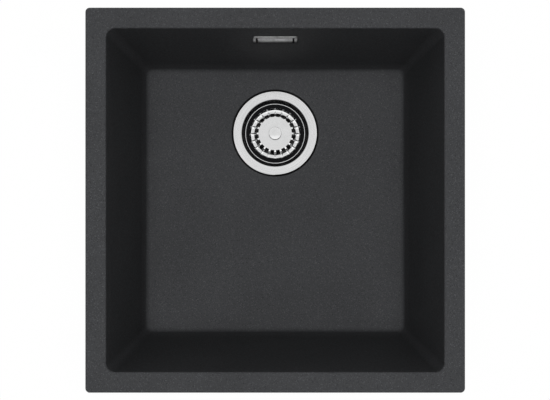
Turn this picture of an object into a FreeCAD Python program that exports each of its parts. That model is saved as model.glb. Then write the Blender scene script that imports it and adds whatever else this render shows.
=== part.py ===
import FreeCAD, Part
import Sketcher
import math
import os
from types import SimpleNamespace

# An undermount kitchen sink: a moulded stone composite bowl with a lift-out basket strainer,
# its waste body below the floor, and an overflow that runs down behind the rear wall.
# Millimetres. The origin is the middle of the rim's top face, +Z up, +Y towards the overflow wall.
# Pieces of the waste are drawn about the waste's axis, with height zero at the floor.
# Pieces of the overflow are drawn on the rear wall, with +Z out of the wall and +Y up along it.

# Driving dimensions: name, value, meaning
SIZES = [
    ("rim_x", 422, "rim, left to right"),
    ("rim_y", 428, "rim, front to rear"),
    ("rim_land", 23, "width of the rim's flat top"),
    ("rim_thick", 12, "thickness of the rim"),
    ("rim_corner", 5, "plan radius of the rim's corners"),
    ("rim_edge", 1.5, "round on the rim's outer top edge"),
    ("mouth_corner", 10, "plan radius of the bowl's corners at the mouth"),
    ("mouth_edge", 2, "round on the edge from the rim into the bowl"),
    ("bowl_depth", 200, "rim top down to the floor at the waste"),
    ("wall_lean_share", 0.072, "how far a wall leans in for its depth"),
    ("foot_depth", 170, "rim top down to where the walls begin to curve in"),
    ("foot_inset", 3, "how far the walls have curved in at the floor"),
    ("wall", 8, "thickness of the walls"),
    ("floor_thick", 10, "thickness of the floor at the waste"),
    ("floor_round", 7.5, "inner round between floor and walls"),
    ("under_round", 15, "outer round between floor and walls"),
    ("floor_corner", 2, "plan radius of the bowl's corners at the floor, beyond the floor's round"),
    ("floor_fall_share", 0.014, "rise of the floor away from the waste, for its length"),
    ("overrun", 4, "how far a cutting shape runs past what it cuts"),
    ("insert_r", 4, "outer radius of a rim insert"),
    ("insert_bore_r", 3, "bore radius of a rim insert, M6"),
    ("insert_length", 9, "length of a rim insert"),
    ("insert_end_gap", 0.5, "gap above a rim insert"),
    ("insert_inset", 7, "rim edge to the middle of an insert"),
    ("insert_pitch", 240, "distance between the two inserts of one side"),
    ("waste_y", 44.3, "rear edge of the mouth to the waste flange"),
    ("flange_r", 56.5, "outer radius of the waste flange"),
    ("flange_land", 13.5, "width of the flange's flat ring round the cup"),
    ("flange_gap", 1.1, "gap round the flange in its recess"),
    ("sheet", 1.1, "sheet of the flange and cup"),
    ("flange_edge", 0.7, "round on the flange's outer edge"),
    ("flange_seal_thick", 1.4, "thickness of the seal under the flange"),
    ("flange_seal_width", 7, "width of the seal under the flange"),
    ("seal_inset", 0.6, "seal edge back from the flange edge"),
    ("hole_gap", 1.1, "gap between the cup and the hole in the floor"),
    ("cup_mouth_round", 2.6, "round from the flange into the cup"),
    ("seat_drop", 15, "floor down to the basket's seat"),
    ("seat_width", 3.2, "width of the basket's seat"),
    ("cup_lean", 2.4, "how much the lower cup narrows"),
    ("cup_depth", 36, "floor down to the cup's bottom"),
    ("cup_round", 1, "pressed round in the cup"),
    ("cup_hole_r", 5.4, "drain hole in the cup's bottom"),
    ("cup_hole_pitch", 18, "distance between drain holes round their ring"),
    ("body_seal_thick", 3, "seal between bowl and waste body"),
    ("body_gap", 1.4, "gap between cup and waste body"),
    ("body_wall", 2.8, "wall of the waste body"),
    ("body_flange_thick", 4.5, "clamping flange of the waste body"),
    ("body_cone", 17, "height of the body's cone"),
    ("outlet_r", 23.9, "outer radius of the outlet, G 1 1/2"),
    ("outlet_wall", 3.9, "wall of the outlet, with its thread"),
    ("outlet_length", 22, "length of the outlet"),
    ("outlet_chamfer", 1.2, "chamfer on the outlet's end"),
    ("boss_r", 8, "boss on the body's spider"),
    ("boss_top_gap", 2, "gap from the cup down to the boss"),
    ("boss_height", 18, "height of the boss"),
    ("arm_thick", 3, "thickness of a spider arm"),
    ("arm_step", 0.4, "top of the boss down to the top of the arms"),
    ("arm_height", 6.5, "height of a spider arm"),
    ("rib_thick", 2.5, "thickness of a rib outside the body"),
    ("rib_height", 22, "height of a rib outside the body"),
    ("rib_count", 10, "ribs outside the body"),
    ("nut_r", 5, "outer radius of the brass nut in the boss"),
    ("nut_length", 12, "length of the brass nut in the boss"),
    ("moulded_round", 1.2, "small round on moulded pieces"),
    ("screw_r", 3, "clamping screw, M6"),
    ("screw_tail", 1.5, "clamping screw beyond its nut"),
    ("screw_head_gap", 0.6, "radial gap between the screw's head and the catch"),
    ("screw_head", 4, "height of that head"),
    ("screw_socket_across", 5, "drive socket of the clamping screw, across its flats"),
    ("screw_socket_depth", 2.4, "depth of the drive socket"),
    ("screw_hole_gap", 0.3, "radial gap where the screw passes through"),
    ("catch_wall", 3.6, "wall of the catch"),
    ("catch_floor", 2.5, "floor of the catch"),
    ("catch_height", 13, "height of the catch"),
    ("catch_chamfer", 0.8, "lead-in of the catch"),
    ("basket_sheet", 0.9, "sheet of the basket"),
    ("seat_clearance", 0.2, "gap between the basket's seal and its seat"),
    ("basket_seal_thick", 3, "thickness of the basket's seal"),
    ("basket_seal_lip", 0.9, "lip of that seal above the basket's edge"),
    ("basket_seal_lip_thick", 1.9, "thickness of that lip"),
    ("basket_seal_gap", 0.5, "radial gap between that seal and the cup"),
    ("seal_fit", 0.1, "radial gap between that seal and the basket"),
    ("bead", 0.9, "height of the bead on the basket's edge"),
    ("ledge_width", 5, "width of the ledge from the basket's edge to its wall"),
    ("inlay_thick", 0.8, "thickness of the rubber inlay on that ledge"),
    ("basket_lean", 0.6, "how much the basket's wall narrows"),
    ("trough_depth", 23, "floor down to the underside of the basket's trough"),
    ("trough_round", 2, "round in the trough"),
    ("trough_width", 5.8, "width of the trough between wall and crown"),
    ("crown_lean", 1.9, "how much the crown narrows up to its flat top"),
    ("crown_drop", 7, "floor down to the crown's top"),
    ("crown_round", 1.1, "round on the crown's edge"),
    ("slot_width", 4.8, "width of a slot in the crown"),
    ("slot_inset", 3.7, "how far a slot reaches in over the crown's top"),
    ("slot_sill", 2.2, "underside of the trough up to a slot's sill"),
    ("slot_pitch", 7, "distance between slots at their inner ends"),
    ("knob_r", 8.4, "radius of the knob's cap"),
    ("knob_cap", 3, "thickness of the knob's cap"),
    ("knob_neck_r", 5, "radius of the knob's neck"),
    ("knob_neck", 5.4, "height of the knob's neck"),
    ("knob_round", 0.7, "round on the knob's edge"),
    ("shank_r", 3, "shank of the knob, on which the basket turns"),
    ("shank_fit", 0.06, "radial gap round that shank"),
    ("shank_play", 0.15, "play along that shank, each side"),
    ("shank_length", 8, "length of the knob's shank"),
    ("stem_head_r", 8, "head of the stem under the crown"),
    ("stem_head", 2, "thickness of that head"),
    ("stem_r", 5, "radius of the stem"),
    ("stem_fit", 0.6, "radial gap between stem and catch"),
    ("stem_gap", 1, "gap between the stem's end and the screw"),
    ("stem_chamfer", 0.8, "chamfer on the stem's end"),
    ("ring_wire_r", 1, "section radius of the stem's ring"),
    ("ring_rise", 3.2, "stem's end up to the ring"),
    ("ring_fit", 0.1, "gap between the ring and what it touches"),
    ("overflow_drop", 46, "rim top down to the overflow's middle"),
    ("overflow_x", 44, "overflow hole, left to right"),
    ("overflow_y", 16, "overflow hole, height"),
    ("overflow_corner", 4, "corner radius of the overflow hole"),
    ("cover_lap_x", 4, "overflow cover beyond the hole at each end"),
    ("cover_lap_y", 4, "overflow cover beyond the hole above and below"),
    ("cover_proud", 2.8, "how far the cover stands off the wall at most"),
    ("cover_top_proud", 1.4, "how far its upper edge stands off the wall"),
    ("cover_lip", 5, "height of the strip along the lower edge that bends back"),
    ("cover_lip_back", 0.7, "how far that strip bends back to the wall"),
    ("cover_sheet", 1, "sheet of the overflow cover"),
    ("cover_corner", 3, "corner radius of the cover"),
    ("cover_round", 0.9, "round on the cover's front edge"),
    ("cover_tab", 3.5, "cover's end to its slot"),
    ("cover_slot_width", 2.4, "width of a slot in the cover"),
    ("cover_slot_end", 2.8, "edge of the cover to the end of a slot"),
    ("stud_x", 13, "middle of the cover to a stud"),
    ("stud_r", 2, "stud, M4"),
    ("stud_gap", 0.3, "radial gap round a stud"),
    ("stud_tail", 1, "stud beyond its nut"),
    ("head_seal", 2, "thickness of the seal behind the wall"),
    ("head_lap", 7, "flange of the overflow head beyond the hole"),
    ("head_flange", 2.6, "thickness of that flange"),
    ("head_corner", 5, "corner radius of that flange"),
    ("head_wall", 2.2, "wall of the overflow head"),
    ("head_boss_r", 4.2, "boss round a stud"),
    ("washer_r", 4.6, "washer on a stud"),
    ("washer", 0.8, "thickness of a washer"),
    ("nut_across", 7, "nut on a stud, across its flats"),
    ("nut_height", 3.2, "height of that nut"),
    ("hose_bore_r", 7.1, "bore radius of the hose"),
    ("hose_wall", 1.2, "wall of the hose between its ribs, and of its cuffs"),
    ("hose_rib", 1.2, "height of a rib of the hose"),
    ("hose_gap", 1.5, "gap between the wall and the hose"),
    ("hose_cuff", 16, "length of the hose's plain cuffs"),
    ("hose_pitch", 4, "pitch of the hose's ribs"),
    ("barb_fit", 0.05, "radial gap between spigot and hose"),
    ("barb_wall", 1.65, "wall of a hose spigot"),
    ("barb_length", 14, "length of a hose spigot"),
    ("collar", 2.5, "length of a spigot's collar"),
    ("collar_out", 1.8, "how far a collar stands out"),
    ("clip_band", 0.8, "thickness of a hose clip"),
    ("clip_width", 7, "width of a hose clip"),
    ("clip_fit", 0.1, "gap between clip and hose"),
    ("clip_ear", 6, "length of a clip's ears"),
    ("clip_mouth", 3, "gap between a clip's ears"),
]

# A rib of the hose, along one pitch: root, crest, crest, root
RIB_SHARES = (0.1, 0.35, 0.65, 0.9)

# Sections of the walls' curved foot, along its depth
FOOT_SHARES = (0, 0.35, 0.7, 1)

NO_TURN = FreeCAD.Rotation()
ALONG_X = FreeCAD.Vector(1, 0, 0)
UP = FreeCAD.Vector(0, 0, 1)


# Sizes that carry their formula
class Size:
    """A size worked out from the sheet: its number now, and the formula that follows the sheet."""

    def __init__(self, number, formula):
        self.number = float(number)
        self.formula = formula

    def __float__(self):
        return self.number

    def __add__(self, other):
        return Size(self.number + float(other), f"({self.formula} + {formula_of(other)})")

    def __sub__(self, other):
        return Size(self.number - float(other), f"({self.formula} - {formula_of(other)})")

    def __mul__(self, other):
        return Size(self.number * float(other), f"({self.formula} * {formula_of(other)})")

    def __truediv__(self, other):
        return Size(self.number / float(other), f"({self.formula} / {formula_of(other)})")

    def __neg__(self):
        return Size(-self.number, f"(0 - {self.formula})")


def formula_of(amount):
    """The formula of a size, or a plain number as text."""
    return amount.formula if isinstance(amount, Size) else repr(float(amount))


def whole_number(amount):
    """A size rounded to a whole number, for a count."""
    return Size(round(amount.number), f"round({amount.formula})")


def read_sizes(sheet):
    """Writes the sizes into the spreadsheet and returns them by name."""
    found = {}
    for row, (name, number, meaning) in enumerate(SIZES, start=1):
        sheet.set(f"A{row}", str(number))
        sheet.setAlias(f"A{row}", name)
        sheet.set(f"B{row}", meaning)
        found[name] = Size(number, f"sizes.{name}")
    return SimpleNamespace(**found)


doc = FreeCAD.newDocument("kitchen_sink")
s = read_sizes(doc.addObject("Spreadsheet::Sheet", "sizes"))
doc.recompute()

# Sizes that several pieces share
lean = Size(math.degrees(math.atan(float(s.wall_lean_share))), "atan(sizes.wall_lean_share)")
lean_cosine = Size(math.cos(math.radians(float(lean))), f"cos({lean.formula})")
mouth_x = s.rim_x - s.rim_land * 2
mouth_y = s.rim_y - s.rim_land * 2
floor_corner_r = s.floor_round + s.floor_corner
waste_at_y = mouth_y / 2 - s.waste_y - s.flange_r
cup_r = s.flange_r - s.flange_land
recess_r = s.flange_r + s.flange_gap
recess_depth = s.sheet + s.flange_seal_thick
hole_r = cup_r + s.sheet + s.hole_gap
low_cup_r = cup_r - s.seat_width
screw_hole_r = s.screw_r + s.screw_hole_gap
body_top = -(s.floor_thick + s.body_seal_thick)
body_bore_r = cup_r + s.sheet + s.body_gap
body_r = body_bore_r + s.body_wall
boss_top = -(s.cup_depth + s.sheet + s.boss_top_gap)
arm_foot = boss_top - s.arm_step - s.arm_height
cone_end = s.body_cone - arm_foot
outlet_bore_r = s.outlet_r - s.outlet_wall
screw_seat = s.catch_floor - s.cup_depth
catch_bore_r = s.stem_r + s.stem_fit
catch_r = catch_bore_r + s.catch_wall
cup_foot_r = low_cup_r - s.cup_lean
cup_hole_ring_r = (cup_foot_r + catch_r) / 2
stem_end = screw_seat + s.screw_head + s.stem_gap
stem_top = -(s.crown_drop + s.basket_sheet + s.shank_play)
shank_top = s.shank_play - s.crown_drop
ring_line_r = catch_bore_r - s.ring_fit - s.ring_wire_r
seal_foot = s.seat_clearance - s.seat_drop
basket_under = seal_foot + s.basket_seal_thick
basket_r = cup_r - s.basket_seal_gap - s.basket_seal_lip_thick - s.seal_fit
basket_wall_r = basket_r - s.ledge_width
basket_edge = basket_under + s.basket_sheet
basket_foot_r = basket_wall_r - s.basket_lean
crown_foot_r = basket_foot_r - s.basket_sheet - s.trough_width
crown_r = crown_foot_r - s.crown_lean
slot_start_r = crown_r - s.slot_inset
slot_count = whole_number(slot_start_r * 2 * math.pi / s.slot_pitch)
cover_x = s.overflow_x + s.cover_lap_x * 2
cover_y = s.overflow_y + s.cover_lap_y * 2
cover_middle_proud = (s.cover_proud + s.cover_top_proud) / 2
head_x = s.overflow_x + s.head_lap * 2
head_y = s.overflow_y + s.head_lap * 2
hose_root_r = s.hose_bore_r + s.hose_wall
hose_r = hose_root_r + s.hose_rib
wall_back = -(s.wall * lean_cosine)
head_face = wall_back - s.head_seal
hose_line = wall_back - s.hose_gap - hose_r
barb_r = s.hose_bore_r - s.barb_fit
barb_bore_r = barb_r - s.barb_wall
collar_r = barb_r + s.collar_out
head_back = hose_line - barb_r - s.head_wall
head_collar_end = -(head_y / 2 + s.collar)
stud_end = head_back - s.washer - s.nut_height - s.stud_tail
insert_x = s.rim_x / 2 - s.insert_inset
insert_y = s.rim_y / 2 - s.insert_inset

# The hose bends round the bowl's lower edge with its bend's middle level with that of the edge's
# round, and ends in a straight run of one hose diameter before the waste body.
half_turn = math.radians(45 - float(lean) / 2)
half_turn_tangent = Size(math.tan(half_turn), f"tan(45 deg - {lean.formula} / 2)")
hose_end_y = waste_at_y + body_r + s.collar
bend_level = s.floor_thick - s.under_round
hose_room = mouth_y / 2 - (s.bowl_depth + bend_level) * s.wall_lean_share - hose_line / lean_cosine
hose_bend_r = (hose_room - hose_end_y - hose_r * 2) / (half_turn_tangent + s.wall_lean_share)
hose_drop = hose_bend_r + bend_level


# Helpers for bodies, sketches and features
def bind(thing, name, size):
    """Leads a property or a constraint back to the sheet."""
    thing.setExpression(name, formula_of(size))


def new_body(label):
    """A body whose label names its file."""
    body = doc.addObject("PartDesign::Body", label)
    body.Label = label
    return body


def own_plane(body, role):
    """One of the body's own origin planes or axes."""
    return next(feature for feature in body.Origin.OriginFeatures if feature.Role == role)


def new_sketch(body, name, role="XY_Plane", lift=0):
    """A sketch on one of the body's own planes, lifted off it by a size."""
    sketch = body.newObject("Sketcher::SketchObject", name)
    sketch.AttachmentSupport = [(own_plane(body, role), "")]
    sketch.MapMode = "FlatFace"
    sketch.AttachmentOffset = FreeCAD.Placement(FreeCAD.Vector(0, 0, float(lift)), NO_TURN)
    bind(sketch, "AttachmentOffset.Base.z", lift)
    return sketch


def flat(across, up):
    return FreeCAD.Vector(float(across), float(up), 0)


def hold(sketch, geometry, point, across, up):
    """Holds a point of the sketch at its place from the sketch's origin."""
    for kind, axis, amount in (("DistanceX", -2, across), ("DistanceY", -1, up)):
        if isinstance(amount, Size):
            value = float(amount)
            number = sketch.addConstraint(Sketcher.Constraint(kind, -1, 1, geometry, point, value))
            bind(sketch, f"Constraints[{number}]", amount)
        else:
            sketch.addConstraint(Sketcher.Constraint("PointOnObject", geometry, point, axis))


def draw_outline(sketch, points):
    """A closed outline of straight lines whose corners are held by the sheet."""
    count = len(points)
    for i in range(count):
        line = Part.LineSegment(flat(*points[i]), flat(*points[(i + 1) % count]))
        sketch.addGeometry(line, False)
    for i in range(count):
        sketch.addConstraint(Sketcher.Constraint("Coincident", i, 2, (i + 1) % count, 1))
    for i, (across, up) in enumerate(points):
        hold(sketch, i, 1, across, up)
    return sketch


def draw_circle(sketch, radius, across=0, up=0):
    """A circle held by the sheet."""
    circle = Part.Circle(flat(across, up), UP, float(radius))
    number = sketch.addGeometry(circle, False)
    constraint = sketch.addConstraint(Sketcher.Constraint("Radius", number, float(radius)))
    bind(sketch, f"Constraints[{constraint}]", radius)
    hold(sketch, number, 3, across, up)
    return sketch


def draw_ring(sketch, outer, inner):
    draw_circle(sketch, outer)
    return draw_circle(sketch, inner)


def draw_rounded(sketch, width, height, corner, across=0):
    """A rectangle with round corners, its middle on the sketch's X axis."""
    reach_x = float(width) / 2 - float(corner)
    reach_y = float(height) / 2 - float(corner)
    first = sketch.GeometryCount
    for turn, (side_x, side_y) in enumerate([(1, 1), (-1, 1), (-1, -1), (1, -1)]):
        centre = flat(float(across) + side_x * reach_x, side_y * reach_y)
        circle = Part.Circle(centre, UP, float(corner))
        start = turn * math.pi / 2
        sketch.addGeometry(Part.ArcOfCircle(circle, start, start + math.pi / 2), False)
    arcs = [sketch.Geometry[first + i] for i in range(4)]
    for i in range(4):
        side = Part.LineSegment(arcs[i].EndPoint, arcs[(i + 1) % 4].StartPoint)
        sketch.addGeometry(side, False)
    for i in range(4):
        arc, line, following = first + i, first + 4 + i, first + (i + 1) % 4
        sketch.addConstraint(Sketcher.Constraint("Tangent", arc, 2, line, 1))
        sketch.addConstraint(Sketcher.Constraint("Tangent", line, 2, following, 1))
    for i in range(1, 4):
        sketch.addConstraint(Sketcher.Constraint("Equal", first, first + i))
    top, left, bottom, right = (first + 4 + i for i in range(4))
    sketch.addConstraint(Sketcher.Constraint("Horizontal", top))
    sketch.addConstraint(Sketcher.Constraint("Vertical", left))
    constraint = sketch.addConstraint(Sketcher.Constraint("Radius", first, float(corner)))
    bind(sketch, f"Constraints[{constraint}]", corner)
    half_x, half_y = width / 2, height / 2
    sides = [
        ("DistanceY", top, half_y),
        ("DistanceY", bottom, -half_y),
        ("DistanceX", left, -half_x + across),
        ("DistanceX", right, half_x + across),
    ]
    for kind, line, amount in sides:
        value = float(amount)
        constraint = sketch.addConstraint(Sketcher.Constraint(kind, -1, 1, line, 1, value))
        bind(sketch, f"Constraints[{constraint}]", amount)
    return sketch


def draw_hexagon(sketch, across_flats, across=0):
    """A regular hexagon, its middle on the sketch's X axis."""
    corner_r = across_flats / math.sqrt(3)
    points = []
    for i in range(6):
        turn = i * math.pi / 3
        side = corner_r * math.cos(turn) + across
        points.append((side, corner_r * math.sin(turn) if i % 3 else 0))
    first = sketch.GeometryCount
    for i in range(6):
        sketch.addGeometry(Part.LineSegment(flat(*points[i]), flat(*points[(i + 1) % 6])), False)
    for i in range(6):
        sketch.addConstraint(Sketcher.Constraint("Coincident", first + i, 2, first + (i + 1) % 6, 1))
    for i, (side, up) in enumerate(points):
        hold(sketch, first + i, 1, side, up)
    return sketch


def volume(body):
    return 0 if body.Shape.isNull() else body.Shape.Volume


def pad(body, sketch, length, name, back=False):
    """Pads a sketch along its normal, or back against it."""
    before = volume(body)
    feature = body.newObject("PartDesign::Pad", name)
    feature.Profile = sketch
    feature.Reversed = back
    bind(feature, "Length", length)
    doc.recompute()
    if volume(body) <= before:
        raise ValueError(f"{body.Label}: {name} adds nothing")
    return feature


def pocket(body, sketch, length, name, forward=False):
    """Cuts a sketch back against its normal, or forward along it."""
    before = volume(body)
    feature = body.newObject("PartDesign::Pocket", name)
    feature.Profile = sketch
    feature.Reversed = forward
    bind(feature, "Length", length)
    doc.recompute()
    if volume(body) >= before:
        raise ValueError(f"{body.Label}: {name} cuts nothing")
    return feature


def centred(feature):
    """Lets a pad or pocket reach equally far to both sides of its sketch."""
    feature.Midplane = True
    doc.recompute()
    return feature


def spin(body, name, points):
    """Spins an outline of (radius, height) points round the body's Z axis."""
    sketch = draw_outline(new_sketch(body, name + "_outline", "XZ_Plane"), points)
    feature = body.newObject("PartDesign::Revolution", name)
    feature.Profile = sketch
    feature.ReferenceAxis = (sketch, ["V_Axis"])
    feature.Angle = 360
    doc.recompute()
    return feature


def groove(body, name, points, axis_y=0):
    """Takes away an outline spun round an upright axis that stands at a distance along Y."""
    before = volume(body)
    sketch = new_sketch(body, name + "_outline", "XZ_Plane", -axis_y if axis_y else 0)
    draw_outline(sketch, points)
    feature = body.newObject("PartDesign::Groove", name)
    feature.Profile = sketch
    feature.ReferenceAxis = (sketch, ["V_Axis"])
    feature.Angle = 360
    doc.recompute()
    if volume(body) >= before:
        raise ValueError(f"{body.Label}: {name} cuts nothing")
    return feature


def around(body, feature, count, name):
    """Repeats a feature round the body's Z axis."""
    before = volume(body)
    pattern = body.newObject("PartDesign::PolarPattern", name)
    pattern.Originals = [feature]
    pattern.Axis = (own_plane(body, "Z_Axis"), [""])
    pattern.Angle = 360
    bind(pattern, "Occurrences", count)
    body.Tip = pattern
    doc.recompute()
    if volume(body) == before:
        raise ValueError(f"{body.Label}: {name} repeats nothing")
    return pattern


def same(one, other):
    """Whether two lengths are the same, to a millionth part of the rim's width."""
    return abs(one - float(other)) < float(s.rim_x) * 1e-6


def ring_at(radius, height):
    """A test for the round edge of that radius and height about the Z axis."""

    def wanted(edge):
        curve = edge.Curve
        if not isinstance(curve, Part.Circle):
            return False
        centred = same(curve.Center.x, 0) and same(curve.Center.y, 0)
        return centred and same(curve.Radius, radius) and same(curve.Center.z, height)

    return wanted


def any_of(*tests):
    return lambda edge: any(test(edge) for test in tests)


def dress(body, kind, name, wanted, amount):
    """A fillet or chamfer on the edges of the body's tip that a test picks."""
    base = body.Tip
    names = [f"Edge{i}" for i, edge in enumerate(base.Shape.Edges, start=1) if wanted(edge)]
    if not names:
        raise ValueError(f"{body.Label}: {name} finds no edge")
    feature = body.newObject("PartDesign::" + kind, name)
    feature.Base = (base, names)
    bind(feature, "Radius" if kind == "Fillet" else "Size", amount)
    doc.recompute()
    return feature


def fillet(body, name, wanted, radius):
    return dress(body, "Fillet", name, wanted, radius)


def chamfer(body, name, wanted, size):
    return dress(body, "Chamfer", name, wanted, size)


def at_waste(body):
    """Stands a body on the waste's axis, with the floor as its zero height."""
    body.Placement = FreeCAD.Placement(FreeCAD.Vector(0, float(waste_at_y), -float(s.bowl_depth)), NO_TURN)
    bind(body, "Placement.Base.y", waste_at_y)
    bind(body, "Placement.Base.z", -s.bowl_depth)
    return body


def at_overflow(body):
    """Sets a body on the rear wall at the overflow, with its Z axis out of the wall."""
    turn = Size(90 - float(lean), f"90 deg - {lean.formula}")
    wall_y = mouth_y / 2 - s.overflow_drop * s.wall_lean_share
    place = FreeCAD.Vector(0, float(wall_y), -float(s.overflow_drop))
    body.Placement = FreeCAD.Placement(place, FreeCAD.Rotation(ALONG_X, float(turn)))
    bind(body, "Placement.Rotation.Angle", turn)
    bind(body, "Placement.Base.y", wall_y)
    bind(body, "Placement.Base.z", -s.overflow_drop)
    return body


# The bowl
def draw_walls(sketch, depth, corner, grow, curved):
    """The walls' outline at a depth, wider than the inside of the bowl by grow on every side."""
    inset = depth * s.wall_lean_share
    if curved:
        into_foot = (depth - s.foot_depth) / (s.bowl_depth - s.foot_depth)
        inset = inset + into_foot * into_foot * s.foot_inset
    across, along = mouth_x - inset * 2, mouth_y - inset * 2
    if grow:
        across, along, corner = across + grow * 2, along + grow * 2, corner + grow
    return draw_rounded(sketch, across, along, corner)


def walls_loft(body, name, top, bottom, grow):
    """Walls between two depths, wider than the inside of the bowl by grow on every side.

    They lean in evenly down to their foot, which curves in further towards the floor.
    """
    straight = [(top, s.mouth_corner), (s.foot_depth, floor_corner_r)]
    foot_height = bottom - s.foot_depth
    foot = [(s.foot_depth + foot_height * share, floor_corner_r) for share in FOOT_SHARES]
    for part_name, levels in (("straight", straight), ("foot", foot)):
        sections = []
        for depth, corner in levels:
            sketch = new_sketch(body, f"{name}_{part_name}_{len(sections)}", lift=-depth)
            sections.append(draw_walls(sketch, depth, corner, grow, part_name == "foot"))
        feature = body.newObject("PartDesign::AdditiveLoft", f"{name}_{part_name}")
        feature.Profile = sections[0]
        feature.Sections = sections[1:]
        doc.recompute()


def make_bowl_cavity():
    """The bowl's inside as a solid: leaning walls, a floor that falls to the waste, a round foot."""
    body = new_body("bowl_cavity")
    walls_loft(body, "walls", -s.overrun, s.bowl_depth, None)
    reach = s.rim_y
    rise = (reach - recess_r) * s.floor_fall_share
    below = -(s.bowl_depth + s.overrun)
    fall = [(recess_r, below), (recess_r, -s.bowl_depth), (reach, rise - s.bowl_depth), (reach, below)]
    groove(body, "fall", fall, waste_at_y)
    low = -float(s.bowl_depth)
    high = low + float(rise)

    def at_foot(edge):
        box = edge.BoundBox
        flat_enough = low < box.ZMin and box.ZMax < high
        outside = max(abs(box.XMin), abs(box.XMax), abs(box.YMin), abs(box.YMax)) > float(mouth_x) / 3
        along_wall = box.ZMax - box.ZMin < float(s.rim_thick) and edge.Length > float(floor_corner_r)
        return flat_enough and outside and along_wall and not isinstance(edge.Curve, Part.Line)

    fillet(body, "foot_round", at_foot, s.floor_round)
    return body


def make_overflow_hole():
    """The overflow hole as a solid that runs through the rear wall."""
    body = at_overflow(new_body("overflow_hole"))
    sketch = new_sketch(body, "hole", lift=s.overrun)
    draw_rounded(sketch, s.overflow_x, s.overflow_y, s.overflow_corner)
    pad(body, sketch, s.overrun * 2 + s.wall, "through_wall", back=True)
    return body


def make_sink_bowl():
    """The moulded bowl: rim, leaning walls, falling floor, recess for the waste, overflow hole."""
    body = new_body("sink_bowl")
    rim = draw_rounded(new_sketch(body, "rim_outline"), s.rim_x, s.rim_y, s.rim_corner)
    pad(body, rim, s.rim_thick, "rim", back=True)
    walls_loft(body, "outside", s.rim_thick / 2, s.bowl_depth + s.floor_thick, s.wall)
    under = -(s.bowl_depth + s.floor_thick)
    fillet(body, "under_round", lambda edge: same(edge.BoundBox.ZMax, under), s.under_round)
    hollow = body.newObject("PartDesign::Boolean", "hollow")
    hollow.Type = "Cut"
    hollow.Group = [make_bowl_cavity(), make_overflow_hole()]
    body.Tip = hollow
    doc.recompute()
    recess = [
        (0, -s.bowl_depth),
        (recess_r, -s.bowl_depth),
        (recess_r, -(s.bowl_depth + recess_depth)),
        (hole_r, -(s.bowl_depth + recess_depth)),
        (hole_r, -(s.bowl_depth + s.floor_thick + s.overrun)),
        (0, -(s.bowl_depth + s.floor_thick + s.overrun)),
    ]
    groove(body, "waste_recess", recess, waste_at_y)
    holes = new_sketch(body, "insert_holes", lift=-s.rim_thick)
    for across, along in rim_insert_places():
        draw_circle(holes, s.insert_r, across, along)
    pocket(body, holes, s.insert_length + s.insert_end_gap, "insert_pockets", forward=True)
    inner = float(mouth_x) / 2 + float(s.rim_land) / 2
    inner_y = float(mouth_y) / 2 + float(s.rim_land) / 2

    def on_top(edge):
        return same(edge.BoundBox.ZMin, 0) and same(edge.BoundBox.ZMax, 0)

    def within(edge):
        middle = edge.BoundBox.Center
        return abs(middle.x) < inner and abs(middle.y) < inner_y

    fillet(body, "mouth_edge", lambda edge: on_top(edge) and within(edge), s.mouth_edge)
    fillet(body, "rim_edge", lambda edge: on_top(edge) and not within(edge), s.rim_edge)
    return body


def rim_insert_places():
    """Where the threaded inserts stand under the rim: two on every side."""
    half = s.insert_pitch / 2
    signs = [(1, 1), (1, -1), (-1, 1), (-1, -1)]
    return [(x * right, y * rear) for x, y in ((insert_x, half), (half, insert_y)) for right, rear in signs]


def make_rim_inserts():
    """Eight brass inserts, each with its open thread bore."""
    shapes = []
    for across, along in rim_insert_places():
        foot = FreeCAD.Vector(float(across), float(along), -float(s.rim_thick))
        sleeve = Part.makeCylinder(float(s.insert_r), float(s.insert_length), foot)
        bore = Part.makeCylinder(float(s.insert_bore_r), float(s.insert_length), foot)
        shapes.append(sleeve.cut(bore))
    return feature_of("rim_inserts", Part.makeCompound(shapes))


def feature_of(label, shape):
    """A sub-part whose shape is made of plain solids."""
    feature = doc.addObject("Part::Feature", label)
    feature.Label = label
    feature.Shape = shape
    return feature


# The waste: cup, seals, body and clamping screw
def make_waste_flange():
    """The pressed cup: bright flange, seat for the basket, drain holes, hole for the screw."""
    body = at_waste(new_body("waste_flange"))
    foot_r = cup_foot_r
    under = s.sheet
    points = [
        (s.flange_r, 0),
        (cup_r, 0),
        (cup_r, -s.seat_drop),
        (low_cup_r, -s.seat_drop),
        (foot_r, -s.cup_depth),
        (screw_hole_r, -s.cup_depth),
        (screw_hole_r, -(s.cup_depth + under)),
        (foot_r + under, -(s.cup_depth + under)),
        (low_cup_r + under, -(s.seat_drop + under)),
        (cup_r + under, -(s.seat_drop + under)),
        (cup_r + under, -under),
        (s.flange_r, -under),
    ]
    spin(body, "pressed_cup", points)
    fillet(body, "edge_round", ring_at(s.flange_r, 0), s.flange_edge)
    fillet(body, "mouth_round", ring_at(cup_r, 0), s.cup_mouth_round)
    fillet(body, "mouth_round_under", ring_at(cup_r + under, -under), s.cup_mouth_round - under)
    presses = any_of(ring_at(low_cup_r, -s.seat_drop), ring_at(foot_r, -s.cup_depth))
    fillet(body, "press_rounds", presses, s.cup_round)
    under_presses = any_of(
        ring_at(cup_r + under, -(s.seat_drop + under)), ring_at(foot_r + under, -(s.cup_depth + under))
    )
    fillet(body, "press_rounds_under", under_presses, s.cup_round + under)
    hole = draw_circle(new_sketch(body, "drain_hole", lift=-s.cup_depth), s.cup_hole_r, cup_hole_ring_r)
    count = whole_number(cup_hole_ring_r * 2 * math.pi / s.cup_hole_pitch)
    around(body, pocket(body, hole, s.sheet, "drain_hole_cut"), count, "drain_holes")
    return body


def make_ring_seal(label, outer_r, inner_r, top, thick):
    """A flat ring about the waste's axis."""
    body = at_waste(new_body(label))
    ring = draw_ring(new_sketch(body, "ring", lift=top), outer_r, inner_r)
    pad(body, ring, thick, "thickness", back=True)
    return body


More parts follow.
